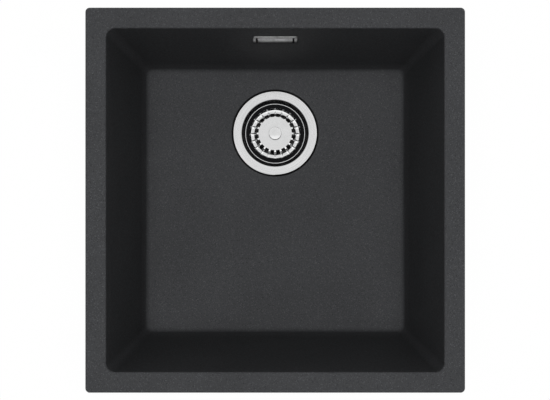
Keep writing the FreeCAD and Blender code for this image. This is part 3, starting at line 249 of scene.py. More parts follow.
class StageSizes(PropertyGroup):
    camera_height: FloatProperty(
        name="Camera height", description="Height of the camera above the rim",
        default=0.948, min=0.1, unit="LENGTH")
    camera_lens: FloatProperty(
        name="Camera lens", description="Focal length on a 36 mm wide sensor, in millimetres",
        default=55.9, min=10)
    lamp_power: FloatProperty(
        name="Lamp power", description="Power of the soft lamp above the sink",
        default=63.0, min=0, unit="POWER")
    lamp_width: FloatProperty(
        name="Lamp width", description="Diameter of the soft lamp",
        default=1.3, min=0.1, unit="LENGTH")
    lamp_height: FloatProperty(
        name="Lamp height", description="Height of the soft lamp above the rim",
        default=2.2, min=0.2, unit="LENGTH")
    side_light: FloatProperty(
        name="Side light", description="Strength of the light from the sides, low over the rim",
        default=0.55, min=0)
    overhead: FloatProperty(
        name="Overhead whiteness", description="How white reflections are straight overhead",
        default=0.81, min=0, max=1, subtype="FACTOR")
    front_window: FloatProperty(
        name="Front light", description="How much whiter reflections are towards the front",
        default=0.3, min=0, max=1, subtype="FACTOR")
    horizon: FloatProperty(
        name="Horizon whiteness", description="How white reflections are near the horizon",
        default=0.01, min=0, max=1, subtype="FACTOR")
    ceiling_edge: FloatProperty(
        name="Ceiling edge", description="Angle off straight overhead up to which reflections are white",
        default=math.radians(52), min=0, unit="ROTATION")
    floor_colour: FloatVectorProperty(
        name="Floor colour", description="Colour of the plain floor",
        subtype="COLOR", size=4, default=(0.97, 0.97, 0.97, 1))
    floor_glow: FloatProperty(
        name="Floor whiteness", description="Share of plain white that the camera sees in the floor",
        default=0.96, min=0, max=1, subtype="FACTOR")
    dark_r: FloatProperty(
        name="Dark floor radius", description="Radius under the waste within which the floor doesn't glow",
        default=0.15, min=0.01, unit="LENGTH")


# Finishes

# Radius at which the lines of circular brushing have their stated length
LINES_R = 0.05
# Most values of a noise lie between the first two, and most sums of two noises between the others
ONE_NOISE = (0.3, 0.7)
TWO_NOISES = (0.7, 1.3)


class Nodes:
    """Short calls that add nodes to a node tree."""

    def __init__(self, tree):
        self.tree = tree

    def node(self, kind, sockets=None, **settings):
        made = self.tree.nodes.new(kind)
        for name, value in settings.items():
            setattr(made, name, value)
        for name, value in (sockets or {}).items():
            self.join(value, made.inputs[name])
        return made

    def join(self, value, socket):
        """Links an output to a socket, or sets the socket to a plain value."""
        if isinstance(value, bpy.types.NodeSocket):
            self.tree.links.new(value, socket)
        else:
            socket.default_value = value

    def maths(self, operation, first, second=0.0):
        made = self.node("ShaderNodeMath", operation=operation)
        self.join(first, made.inputs[0])
        self.join(second, made.inputs[1])
        return made.outputs[0]

    def spread(self, value, low, high, start=ONE_NOISE[0], end=ONE_NOISE[1]):
        """The value from start to end, spread from low to high."""
        made = self.node("ShaderNodeMapRange", {
            "Value": value, "From Min": start, "From Max": end, "To Min": low, "To Max": high})
        return made.outputs[0]

    def blend(self, share, first, second):
        """A number between two, nearer to the second as the share grows."""
        made = self.node("ShaderNodeMix", {"Factor": share, "A": first, "B": second})
        return made.outputs["Result"]

    def ramp(self, value, *stops):
        """A colour from pairs of place and colour."""
        made = self.node("ShaderNodeValToRGB", {"Fac": value})
        line = made.color_ramp.elements
        while len(line) < len(stops):
            line.new(0.5)
        for point, (place, colour) in zip(line, stops):
            point.position = place
            point.color = colour
        return made.outputs["Color"]


class Finish(Nodes):
    """A material in the making."""

    def __init__(self, name):
        self.material = bpy.data.materials.new(name)
        self.material.use_nodes = True
        super().__init__(self.material.node_tree)
        self.shader = self.tree.nodes["Principled BSDF"]
        self.place = self.node("ShaderNodeTexCoord").outputs["Object"]

    def set(self, **sockets):
        """Sets or links sockets of the shader, with _ for a blank."""
        for name, value in sockets.items():
            self.join(value, self.shader.inputs[name.replace("_", " ")])

    def spread_both(self, first, second, low, high):
        """Two noises together, spread from low to high."""
        return self.spread(self.maths("ADD", first, second), low, high, *TWO_NOISES)

    def mottled(self, noise, dark, light):
        """A colour that goes from dark to light with a noise."""
        return self.ramp(noise, (ONE_NOISE[0], dark), (ONE_NOISE[1], light))

    def scaled(self, colour, share):
        """The colour at a share of its strength, which may vary from place to place."""
        made = self.vector("SCALE", colour)
        self.join(share, made.node.inputs["Scale"])
        return made

    def stretched(self, *factors):
        """The place with its three axes scaled, so that noise is long where a factor is small."""
        return self.vector("MULTIPLY", self.place, factors)

    def vector(self, operation, first, second=(0, 0, 0)):
        made = self.node("ShaderNodeVectorMath", operation=operation)
        self.join(first, made.inputs[0])
        self.join(second, made.inputs[1])
        return made.outputs["Value" if operation == "LENGTH" else "Vector"]

    def noise(self, size, detail=2.0, place=None, roughness=0.5):
        """Noise whose features are about size wide, in metres."""
        made = self.node("ShaderNodeTexNoise", {
            "Vector": self.place if place is None else place,
            "Scale": 1 / size, "Detail": detail, "Roughness": roughness})
        return made.outputs["Fac"]

    def grains(self, size):
        """A random value that stays the same over each grain."""
        made = self.node("ShaderNodeTexVoronoi", {"Vector": self.place, "Scale": 1 / size})
        parted = self.node("ShaderNodeSeparateColor", {"Color": made.outputs["Color"]})
        return parted.outputs[0]

    def bump(self, height, depth, strength=1.0, under=None):
        """A normal from heights at most depth metres high, over another normal if there is one."""
        made = self.node("ShaderNodeBump", {"Height": height, "Distance": depth, "Strength": strength})
        if under is not None:
            self.join(under, made.inputs["Normal"])
        return made.outputs["Normal"]

    def round_the_waste(self):
        """The place seen from the waste's axis, and the distance from that axis."""
        centred = self.vector("SUBTRACT", self.place, WASTE_AXIS)
        flat = self.vector("MULTIPLY", centred, (1, 1, 0))
        return flat, self.vector("LENGTH", flat)

    def turned_lines(self, pitch, arc):
        """Noise in fine rings round the waste's axis, each line about arc long out at the flange."""
        flat, distance = self.round_the_waste()
        lines_round = LINES_R / arc
        along = self.vector("MULTIPLY", self.vector("NORMALIZE", flat), (lines_round, lines_round, 0))
        across = self.node("ShaderNodeCombineXYZ", {"Z": self.maths("DIVIDE", distance, pitch)})
        both = self.vector("ADD", along, across.outputs[0])
        return self.noise(size=1.0, detail=3.0, place=both, roughness=0.6)

    def brush_direction(self):
        """The direction of circular brushing, for the shader's tangent."""
        flat, _ = self.round_the_waste()
        ring = self.vector("NORMALIZE", self.vector("CROSS_PRODUCT", (0, 0, 1), flat))
        turned = self.node("ShaderNodeVectorTransform", {"Vector": ring},
                           vector_type="VECTOR", convert_from="OBJECT", convert_to="WORLD")
        return turned.outputs["Vector"]


def toned(colour, share):
    """The colour at a share of its strength, darker below one and lighter above it."""
    return (colour[0] * share, colour[1] * share, colour[2] * share, 1)


def stone_finish(look):
    """Quartz grains in black resin, with a fine open texture, and painted shade darkening the gap round the
    flange.
    """
    finish = Finish("black_granite_composite")
    grain = finish.grains(look.grain_size)
    colour = finish.ramp(
        grain, (0.0, look.dark_grain), (0.12, look.body_colour),
        (0.86, look.body_colour), (1.0, look.light_grain))
    cloud = finish.spread(finish.noise(size=0.09, detail=3.0), low=0.94, high=1.06)
    _, distance = finish.round_the_waste()
    # Painted shade: the stone goes nearly black out to a little past the flange, for the shade in the gap
    # round it
    gap_shade_r = FLANGE_R + look.gap_shade_width
    gap_shade_end_r = gap_shade_r + look.gap_shade_width / 4
    outside_gap_shade = finish.spread(distance, low=0.05, high=1.0, start=gap_shade_r, end=gap_shade_end_r)
    pits = finish.bump(finish.noise(size=look.grain_size * 2, detail=4.0), depth=0.00006, strength=0.5)
    finish.set(
        Base_Color=finish.scaled(colour, finish.maths("MULTIPLY", cloud, outside_gap_shade)),
        Roughness=finish.spread(finish.noise(size=look.grain_size * 3), low=0.52, high=0.66),
        Specular_IOR_Level=0.1,
        Normal=finish.bump(grain, depth=0.00003, strength=0.3, under=pits))
    return finish.material


def brushed_steel_finish(colour, pitch, land, edge):
    """Steel brushed in circles round the waste, with painted shade darkening its outer edge and the cup
    below its ring.
    """
    finish = Finish("circular_brushed_steel")
    lines = finish.turned_lines(pitch, arc=0.03)
    broad = finish.noise(size=0.012)
    _, distance = finish.round_the_waste()
    land_r = FLANGE_R - land
    edge_shade_r = FLANGE_R - edge
    # Painted shade: the cup inside the level ring and the turned outer edge are darkened to 0.05 of the
    # steel's colour
    outside_cup_shade = finish.spread(distance, low=0.0, high=1.0, start=land_r - edge, end=land_r)
    outside_edge_shade = finish.spread(distance, low=1.0, high=0.0, start=edge_shade_r, end=FLANGE_R)
    painted_light_tone = finish.node("ShaderNodeMix", data_type="RGBA")
    finish.join(finish.maths("MULTIPLY", outside_cup_shade, outside_edge_shade), painted_light_tone.inputs["Factor"])
    finish.join(toned(colour, 0.05), painted_light_tone.inputs[6])
    finish.join(finish.mottled(lines, toned(colour, 0.82), colour), painted_light_tone.inputs[7])
    finish.set(
        Base_Color=painted_light_tone.outputs[2],
        Metallic=1.0,
        Roughness=finish.spread_both(lines, broad, low=0.14, high=0.24),
        Anisotropic=0.4,
        Tangent=finish.brush_direction(),
        Normal=finish.bump(lines, depth=0.00002, strength=0.35))
    return finish.material


# Pairs of a share of the overflow cover's height and how light its steel is painted there: painted shade on
# the lip, then a painted bright reflection, with a darker painted streak
COVER_PAINTED_LIGHT = (
    (0.28, 0.25),
    (0.38, 0.6),
    (0.5, 0.68),
    (0.56, 1.0),
    (0.74, 1.0),
    (0.8, 0.75),
    (0.86, 0.88),
)


def cover_painted_light(finish):
    """Painted reflection and shade on the overflow's cover, by its height."""
    parted = finish.node("ShaderNodeSeparateXYZ", {"Vector": finish.place})
    height = finish.spread(parted.outputs["Z"], low=0.0, high=1.0, start=COVER_LOW[2], end=COVER_HIGH[2])
    return finish.ramp(height, *[(share, (painted_light_tone, painted_light_tone, painted_light_tone, 1)) for share, painted_light_tone in COVER_PAINTED_LIGHT])


def cover_steel_finish(colour, pitch):
    """Steel brushed along its length, from side to side, with a few greasy smudges, and painted reflection
    and shade by height in its colour and specular tint.
    """
    finish = Finish("straight_brushed_steel")
    lines = finish.noise(size=pitch, detail=3.0, place=finish.stretched(0.02, 1, 1), roughness=0.6)
    broad = finish.noise(size=0.008)
    greasy = finish.noise(size=0.007, detail=3.0, roughness=0.6)
    smudges = finish.spread(greasy, low=0.55, high=0.9, start=0.38, end=0.56)
    # Painted reflection and shade: the cover's colour and specular tint follow its height
    painted_light_tone = cover_painted_light(finish)
    brushed = finish.mottled(lines, toned(colour, 0.66), toned(colour, 0.9))
    finish.set(
        Base_Color=finish.scaled(brushed, finish.maths("MULTIPLY", smudges, painted_light_tone)),
        Specular_Tint=painted_light_tone,
        Metallic=1.0,
        Roughness=finish.spread_both(lines, broad, low=0.28, high=0.42),
        Normal=finish.bump(lines, depth=0.00002, strength=0.4))
    return finish.material


def polished_steel_finish(colour):
    """Pressed steel with a polish, faint turning rings and a few smudges."""
    finish = Finish("polished_steel")
    lines = finish.turned_lines(pitch=0.0006, arc=0.06)
    smudges = finish.noise(size=0.009, detail=4.0, roughness=0.6)
    finish.set(
        Base_Color=finish.mottled(smudges, toned(colour, 0.94), colour),
        Metallic=1.0,
        Roughness=finish.spread_both(lines, smudges, low=0.1, high=0.2),
        Normal=finish.bump(lines, depth=0.00001, strength=0.25))
    return finish.material


def fastener_finish(colour):
    """Rolled or turned steel with fine scratches."""
    finish = Finish("fastener_steel")
    scratches = finish.noise(size=0.0006, detail=4.0, place=finish.stretched(1, 0.15, 1), roughness=0.65)
    stain = finish.noise(size=0.006, detail=3.0)
    finish.set(
        Base_Color=finish.mottled(stain, toned(colour, 0.82), colour),
        Metallic=1.0,
        Roughness=finish.spread(scratches, low=0.22, high=0.4),
        Normal=finish.bump(scratches, depth=0.00002, strength=0.3))
    return finish.material


def rubber_finish(colour):
    """Matt moulded rubber with a fine bloom."""
    finish = Finish("seal_rubber")
    bloom = finish.noise(size=0.004, detail=4.0, roughness=0.6)
    skin = finish.noise(size=0.0003)
    finish.set(
        Base_Color=finish.ramp(bloom, (0.3, colour), (0.75, toned(colour, 1.7))),
        Roughness=finish.spread(bloom, low=0.55, high=0.72),
        Specular_IOR_Level=0.08,
        Normal=finish.bump(skin, depth=0.00002, strength=0.4))
    return finish.material


def moulded_plastic_finish(colour):
    """Black moulded polypropylene with an orange-peel skin."""
    finish = Finish("moulded_plastic")
    peel = finish.noise(size=0.0012)
    flow = finish.noise(size=0.02, detail=3.0, place=finish.stretched(1, 1, 0.35))
    finish.set(
        Base_Color=finish.mottled(flow, colour, toned(colour, 1.35)),
        Roughness=finish.spread_both(flow, peel, low=0.34, high=0.48),
        Normal=finish.bump(peel, depth=0.00003, strength=0.4))
    return finish.material


def hose_finish(colour):
    """Grey polyethylene, a little chalky, with a fine skin."""
    finish = Finish("hose_plastic")
    chalk = finish.noise(size=0.0035, detail=4.0, roughness=0.6)
    peel = finish.noise(size=0.0006)
    finish.set(
        Base_Color=finish.mottled(chalk, toned(colour, 0.88), toned(colour, 1.08)),
        Roughness=finish.spread(chalk, low=0.36, high=0.5),
        Normal=finish.bump(peel, depth=0.00002, strength=0.3))
    return finish.material


def brass_finish(colour):
    """Turned brass with a slight tarnish."""
    finish = Finish("turned_brass")
    tarnish = finish.noise(size=0.0025, detail=4.0, roughness=0.6)
    turning = finish.noise(size=0.00025, place=finish.stretched(0.05, 0.05, 1))
    finish.set(
        Base_Color=finish.mottled(tarnish, toned(colour, 0.7), colour),
        Metallic=1.0,
        Roughness=finish.spread(tarnish, low=0.24, high=0.42),
        Normal=finish.bump(turning, depth=0.00002, strength=0.35))
    return finish.material


# Modelling by hand

def deselect_all():
    """Leaves edit mode and selects nothing."""
    if bpy.context.mode != "OBJECT":
        bpy.ops.object.mode_set(mode="OBJECT")
    bpy.ops.object.select_all(action="DESELECT")


def select_only(piece):
    """Selects one piece and makes it the active one."""
    deselect_all()
    piece.select_set(True)
    bpy.context.view_layer.objects.active = piece


def started(name):
    """The piece that was just added, under its name."""
    piece = bpy.context.active_object
    piece.name = name
    piece.data.name = name
    return piece


def select_points(piece, wanted):
    """In edit mode, selects just the vertices whose place is wanted."""
    bpy.ops.mesh.select_all(action="DESELECT")
    bpy.ops.mesh.select_mode(type="VERT")
    bpy.ops.object.mode_set(mode="OBJECT")
    for point in piece.data.vertices:
        point.select = wanted(point.co)
    bpy.ops.object.mode_set(mode="EDIT")


def select_faces(piece, wanted):
    """In edit mode, selects just the faces whose middle is wanted."""
    bpy.ops.mesh.select_all(action="DESELECT")
    bpy.ops.mesh.select_mode(type="FACE")
    bpy.ops.object.mode_set(mode="OBJECT")
    for face in piece.data.polygons:
        face.select = wanted(face.center)
    bpy.ops.object.mode_set(mode="EDIT")


def face_up(piece):
    """Turns a sheet over if its highest face looks down."""
    highest = max(piece.data.polygons, key=lambda face: face.center.z)
    if highest.normal.z < 0:
        select_only(piece)
        bpy.ops.object.mode_set(mode="EDIT")
        bpy.ops.mesh.select_all(action="SELECT")
        bpy.ops.mesh.flip_normals()
        bpy.ops.object.mode_set(mode="OBJECT")


def add_modifier(piece, kind, **settings):
    """Adds a modifier with its settings and applies it."""
    select_only(piece)
    made = piece.modifiers.new(kind.title(), kind)
    for name, value in settings.items():
        setattr(made, name, value)
    bpy.ops.object.modifier_apply(modifier=made.name)


def settle(piece):
    """Puts the piece's place in its mesh and its object at the origin."""
    select_only(piece)
    bpy.ops.object.transform_apply(location=True, rotation=True, scale=True)


def clothe(piece, material):
    """Gives the piece one material for all its faces."""
    piece.data.materials.clear()
    piece.data.materials.append(material)


def draw_profile(name, points):
    """A new piece in edit mode: a line through (radius, height) points, behind the waste's axis."""
    places = [Vector((WASTE_AXIS[0], WASTE_AXIS[1] + radius, height)) for radius, height in points]
    deselect_all()
    bpy.ops.mesh.primitive_plane_add(size=BASKET_HIGH[0], location=places[0])
    piece = started(name)
    settle(piece)
    bpy.ops.object.mode_set(mode="EDIT")
    bpy.ops.mesh.select_all(action="SELECT")
    bpy.ops.mesh.merge(type="CENTER")
    for last, place in zip(places, places[1:]):
        bpy.ops.mesh.extrude_vertices_move(TRANSFORM_OT_translate={"value": place - last})
    bpy.ops.mesh.select_all(action="SELECT")
    return piece


def spin_round(steps, angle, copies=False):
    """Spins what is selected round the waste's axis."""
    bpy.ops.mesh.spin(steps=steps, angle=angle, dupli=copies, center=WASTE_AXIS, axis=UPWARDS)


def close_up(gap):
    """Merges what meets and turns all faces outwards."""
    bpy.ops.mesh.select_all(action="SELECT")
    bpy.ops.mesh.remove_doubles(threshold=gap)
    bpy.ops.mesh.normals_make_consistent(inside=False)
    bpy.ops.object.mode_set(mode="OBJECT")


def finish_piece(piece, material, body, node):
    """Dresses a new piece, hangs it on the body it rides on and hides the node it stands for."""
    clothe(piece, material)
    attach(piece, body)
    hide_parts(node)


def finish_nodes(material, *names):
    """Gives CAD nodes a finished material."""
    for name in names:
        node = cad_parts[name]
        for place in node.material_slots:
            place.material = material


# The pieces

class SINK_OT_bowl(Operator):
    """Finishes the moulded bowl and its rim"""
    bl_idname = "sink.bowl"
    bl_label = "Stone bowl"

    def execute(self, context):
        finish_nodes(stone_finish(context.scene.sink_stone), "sink_bowl")
        return {"FINISHED"}


class SINK_OT_flange(Operator):
    """Finishes the waste's brushed ring and cup and the overflow's cover"""
    bl_idname = "sink.flange"
    bl_label = "Flange and overflow cover"

    def execute(self, context):
        look = context.scene.sink_steel
        ring = brushed_steel_finish(
            look.flange_colour, look.brush_pitch, look.flange_land, look.flange_edge_shade)
        cover = cover_steel_finish(look.flange_colour, look.brush_pitch)
        finish_nodes(ring, "waste_flange")
        finish_nodes(cover, "overflow_cover")
        return {"FINISHED"}


# Slopes in degrees along the crown's shoulder, where a slot starts, and up from the trough into the wall
SHOULDER_SLOPES = (0, 5, 12, 20)
FIRST_SLOT_SLOPE = 5
TROUGH_SLOPES = (28, 45, 66)
# Shares of the knob's radius at which its dome has a point
DOME_SHARES = (0, 0.35, 0.7, 1)


def on_shoulder(sizes, slope):
    """The (radius, height) on the crown's round shoulder where it has a slope in degrees."""
    turn = math.radians(slope)
    radius = sizes.disc_r + sizes.shoulder * math.sin(turn)
    return radius, BASKET_HIGH[2] - sizes.shoulder * (1 - math.cos(turn))


def on_trough_round(sizes, slope, start_r, start_height):
    """The (radius, height) on the round that starts at the trough's slope and ends upright."""
    turn = math.radians(slope)
    radius = start_r + sizes.trough_round * (math.sin(turn) - math.sin(sizes.slope))
    return radius, start_height + sizes.trough_round * (math.cos(sizes.slope) - math.cos(turn))


def basket_profile(sizes):
    """The basket's upper side from the knob's hole to the bead, and a slot's first and last radius."""
    top = BASKET_HIGH[2]
    bed = BASKET_LOW[2] + sizes.sheet
    ledge = top - sizes.ledge_drop
    foot_round = sizes.sheet
    wall_foot_r = sizes.wall_r - sizes.wall_lean
    round_r = wall_foot_r - sizes.trough_round * (1 - math.sin(sizes.slope))
    rise = (round_r - sizes.bed_r) * math.tan(sizes.slope)
    shoulder = [on_shoulder(sizes, slope) for slope in SHOULDER_SLOPES]
    side_r = sizes.crown_r
    side_top = shoulder[-1][1] - foot_round
    side_foot = bed + foot_round
    slot_end_r = sizes.foot_r + foot_round / 2
    ledge_r = BASKET_HIGH[0] - sizes.sheet
    points = [
        (sizes.hole_r, top),
        (sizes.disc_r / 2, top),
        (sizes.disc_r - foot_round, top),
        *shoulder,
        (side_r, side_top),
        ((side_r + sizes.foot_r) / 2, (side_top + side_foot) / 2),
        (sizes.foot_r, side_foot),
        (slot_end_r, bed),
        (sizes.bed_r, bed),
        (round_r, bed + rise),
        *[on_trough_round(sizes, slope, round_r, bed + rise) for slope in TROUGH_SLOPES],
        (wall_foot_r, bed + rise + sizes.trough_round),
        (sizes.wall_r, ledge - foot_round),
        (sizes.wall_r + foot_round / 2, ledge),
        (ledge_r - foot_round / 2, ledge),
        (ledge_r, ledge + sizes.bead / 2),
        (ledge_r, ledge + sizes.bead),
    ]
    return points, (on_shoulder(sizes, FIRST_SLOT_SLOPE)[0], slot_end_r)


def off_axis(place):
    """The distance from the waste's axis and the turn from straight behind it, either way round."""
    across = place.x - WASTE_AXIS[0]
    behind = place.y - WASTE_AXIS[1]
    return math.hypot(across, behind), abs(math.atan2(across, behind))


def cut_slot(basket, sizes, start_r, end_r):
    """Deletes the faces of one slot from the middle columns of a sector."""
    middle = math.pi / sizes.slot_count
    half_slot = middle * sizes.slot_columns / sizes.columns

    def in_slot(place):
        radius, turn = off_axis(place)
        return start_r < radius < end_r and abs(turn - middle) < half_slot

    select_faces(basket, in_slot)
    bpy.ops.mesh.delete(type="FACE")


def lift_column(basket, column, step, inner_r, outer_r, height):
    """Lifts the points of one column of a sector that lie between two radii."""
    def in_column(place):
        radius, turn = off_axis(place)
        return round(turn / step) == column and inner_r < radius < outer_r

    select_points(basket, in_column)
    bpy.ops.transform.translate(value=(0, 0, height))


def press_flutes(basket, sizes):
    """Lifts the trough towards both sides of a sector, so that a ridge stands between two flutes."""
    step = FULL_TURN / sizes.slot_count / sizes.columns
    crease = 5
    foot_end_r = sizes.foot_r + sizes.sheet / 4
    bed_end_r = sizes.bed_r + sizes.sheet / 4
    wall_start_r = sizes.wall_r - sizes.trough_round / 2
    for column in range(sizes.columns + 1):
        share = abs(2 * column / sizes.columns - 1) ** crease
        lift_column(basket, column, step, foot_end_r, bed_end_r, sizes.ridge * share)
        lift_column(basket, column, step, bed_end_r, wall_start_r, sizes.ridge_end * share)


def model_basket(sizes):
    """The pressed basket: one sector with its slot and flute, spun round and given its thickness."""
    points, slot_ends = basket_profile(sizes)
    basket = draw_profile("strainer_basket_fluted", points)
    sector = FULL_TURN / sizes.slot_count
    spin_round(sizes.columns, sector)
    cut_slot(basket, sizes, *slot_ends)
    press_flutes(basket, sizes)
    bpy.ops.mesh.select_all(action="SELECT")
    spin_round(sizes.slot_count - 1, FULL_TURN - sector, copies=True)
    close_up(sizes.sheet / 100)
    face_up(basket)
    add_modifier(basket, "SUBSURF", levels=1, render_levels=1)
    add_modifier(basket, "SOLIDIFY", thickness=sizes.sheet, offset=-1, use_even_offset=True)
    add_modifier(basket, "BEVEL", width=sizes.sheet / 6, segments=1,
                 limit_method="ANGLE", angle_limit=math.radians(60))
    select_only(basket)
    bpy.ops.object.shade_smooth_by_angle(angle=math.radians(40))
    return basket


def model_knob(sizes):
    """The turned knob: domed cap, neck, and the shank on which the basket turns."""
    top = KNOB_HIGH[2]
    bottom = KNOB_LOW[2]
    dome_r = sizes.cap_r / math.sin(sizes.dome)
    points = []
    for share in DOME_SHARES:
        radius = (sizes.cap_r - sizes.edge) * share
        points.append((radius, top - dome_r + math.sqrt(dome_r ** 2 - radius ** 2)))
    rim = points[-1][1]
    under = top - sizes.cap
    neck_end = under - sizes.neck
    points += [
        (sizes.cap_r, rim - sizes.edge),
        (sizes.cap_r, under + sizes.edge * 4),
        (sizes.cap_r - sizes.edge * 4, under),
        (sizes.neck_r + sizes.edge * 6, under - sizes.edge * 2),
        (sizes.neck_r, under - sizes.edge * 8),
        (sizes.neck_r, neck_end + sizes.edge * 2),
        (sizes.neck_r - sizes.edge * 2, neck_end),
        (sizes.shank_r, neck_end),
        (sizes.shank_r, bottom + sizes.edge),
        (sizes.shank_r - sizes.edge, bottom),
        (0, bottom),
    ]
    knob = draw_profile("basket_knob_turned", points)
    spin_round(64, FULL_TURN)
    close_up(sizes.edge / 100)
    select_only(knob)
    bpy.ops.object.shade_smooth_by_angle(angle=math.radians(28))
    return knob


class SINK_OT_basket(Operator):
    """Models the lift-out basket with its flutes and slots, and the knob in its middle"""
    bl_idname = "sink.basket"
    bl_label = "Strainer basket"

    def execute(self, context):
        look = context.scene.sink_steel
        polished = polished_steel_finish(look.basket_colour)
        basket = model_basket(context.scene.sink_basket)
        finish_piece(basket, polished, "basket", "strainer_basket")
        knob = model_knob(context.scene.sink_knob)
        finish_piece(knob, polished, "stem", "basket_knob")
        return {"FINISHED"}


class SINK_OT_seals(Operator):
    """Finishes the rubber seals and the stem's ring"""
    bl_idname = "sink.seals"
    bl_label = "Seals"

    def execute(self, context):
        rubber = rubber_finish(context.scene.sink_plastic.rubber_colour)
        finish_nodes(rubber, "flange_seal", "body_seal", "basket_seal", "basket_inlay", "overflow_seal",
                     "stem_ring")
        return {"FINISHED"}


class SINK_OT_mouldings(Operator):
    """Finishes the moulded waste body, the catch and the overflow head"""
    bl_idname = "sink.mouldings"
    bl_label = "Plastic mouldings"

    def execute(self, context):
        plastic = moulded_plastic_finish(context.scene.sink_plastic.body_colour)
        finish_nodes(plastic, "waste_body", "stem_catch", "overflow_head")
        return {"FINISHED"}


class SINK_OT_fasteners(Operator):
    """Finishes screws, nuts, washers, clips and brass inserts"""
    bl_idname = "sink.fasteners"
    bl_label = "Fasteners"

    def execute(self, context):
        steel = fastener_finish(context.scene.sink_steel.fastener_colour)
        brass = brass_finish(context.scene.sink_plastic.brass_colour)
        finish_nodes(steel, "clamp_screw", "basket_stem", "overflow_washers", "overflow_nuts",
                     "hose_clip_upper", "hose_clip_lower")
        finish_nodes(brass, "rim_inserts", "body_nut")
        return {"FINISHED"}


def hose_line(sizes):
    """The hose's middle line as one curve, from its top down and round to the waste body."""
    turn = math.pi / 2 - sizes.lean
    down = Vector((0, -math.sin(sizes.lean), -math.cos(sizes.lean)))
    top = Vector((0, sizes.top_behind, -sizes.top_drop))
    inward = Vector((0, -1, 0))
    bend_start = top + down * sizes.drop
    centre = bend_start + Vector((0, -math.cos(sizes.lean), math.sin(sizes.lean))) * sizes.bend_r
    bend_end = centre - Vector((0, 0, sizes.bend_r))
    end = bend_end + inward * sizes.run
    # With handles of this length a curve follows a round bend
    reach = 4 / 3 * math.tan(turn / 4) * sizes.bend_r
    curve = bpy.data.curves.new("hose_line", "CURVE")
    curve.dimensions = "3D"
    curve.resolution_u = 64
    curve.use_stretch = True
    curve.use_deform_bounds = True
    spline = curve.splines.new("BEZIER")
    spline.bezier_points.add(3)
    third = 1 / 3
    knots = (
        (top, down * sizes.drop * third, down * sizes.drop * third),
        (bend_start, down * sizes.drop * third, down * reach),
        (bend_end, inward * reach, inward * sizes.run * third),
        (end, inward * sizes.run * third, inward * sizes.run * third),
    )
    for knot, (place, before, after) in zip(spline.bezier_points, knots):
        knot.handle_left_type = knot.handle_right_type = "FREE"
        knot.co = place
        knot.handle_left = place - before
        knot.handle_right = place + after
    line = bpy.data.objects.new("hose_line", curve)
    bpy.context.scene.collection.objects.link(line)
    return line


def model_rib(sizes, pitch):
    """One rounded rib of the hose, along X, as a ring that is open at both ends."""
    deselect_all()
    bpy.ops.mesh.primitive_circle_add(
        vertices=36, radius=sizes.root_r, location=(0, 0, 0), rotation=(0, math.pi / 2, 0))
    hose = started("overflow_hose_ribbed")
    bpy.ops.object.transform_apply(location=False, rotation=True, scale=False)
    bpy.ops.object.mode_set(mode="EDIT")
    bpy.ops.mesh.select_all(action="SELECT")
    steps = 10
    fullness = 0.6
    middle = (sizes.crest_r + sizes.root_r) / 2
    swing = (sizes.crest_r - sizes.root_r) / 2
    last_r = sizes.root_r
    for step in range(1, steps + 1):
        wave = math.cos(FULL_TURN * step / steps)
        fuller = math.copysign(abs(wave) ** fullness, wave)
        new_r = middle - swing * fuller
        bpy.ops.mesh.extrude_region_move(TRANSFORM_OT_translate={"value": (pitch / steps, 0, 0)})
        ratio = new_r / last_r
        bpy.ops.transform.resize(
            value=(1, ratio, ratio), center_override=(pitch * step / steps, 0, 0))
        last_r = new_r
    bpy.ops.object.mode_set(mode="OBJECT")
    return hose


def add_cuffs(hose, cuff, ribbed, near):
    """Draws both ends of the ribbed length out into plain cuffs."""
    bpy.ops.object.mode_set(mode="EDIT")
    select_points(hose, lambda place: place.x < near)
    bpy.ops.mesh.extrude_region_move(TRANSFORM_OT_translate={"value": (-cuff, 0, 0)})
    select_points(hose, lambda place: place.x > ribbed - near)
    bpy.ops.mesh.extrude_region_move(TRANSFORM_OT_translate={"value": (cuff, 0, 0)})
    bpy.ops.mesh.select_all(action="SELECT")
    bpy.ops.mesh.normals_make_consistent(inside=False)
    bpy.ops.object.mode_set(mode="OBJECT")


def model_hose(sizes):
    """The hose: one rib repeated along X, a cuff at each end, then bent along its middle line."""
    length = sizes.drop + (math.pi / 2 - sizes.lean) * sizes.bend_r + sizes.run
    ribbed = length - 2 * sizes.cuff
    pitch = ribbed / sizes.rib_count
    hose = model_rib(sizes, pitch)
    add_modifier(hose, "ARRAY", count=sizes.rib_count, use_relative_offset=False,
                 use_constant_offset=True, constant_offset_displace=(pitch, 0, 0),
                 use_merge_vertices=True, merge_threshold=pitch / 100)
    add_cuffs(hose, sizes.cuff, ribbed, pitch / 50)
    line = hose_line(sizes)
    add_modifier(hose, "SOLIDIFY", thickness=sizes.wall, offset=-1)
    add_modifier(hose, "CURVE", object=line, deform_axis="POS_X")
    bpy.data.objects.remove(line)
    select_only(hose)
    bpy.ops.object.shade_smooth_by_angle(angle=math.radians(50))
    return hose


class SINK_OT_hose(Operator):
    """Models the corrugated overflow hose with its rounded ribs and plain cuffs"""
    bl_idname = "sink.hose"
    bl_label = "Overflow hose"

    def execute(self, context):
        plastic = hose_finish(context.scene.sink_plastic.hose_colour)
        hose = model_hose(context.scene.sink_hose)
        finish_piece(hose, plastic, "sink", "overflow_hose")
        return {"FINISHED"}


# The stage

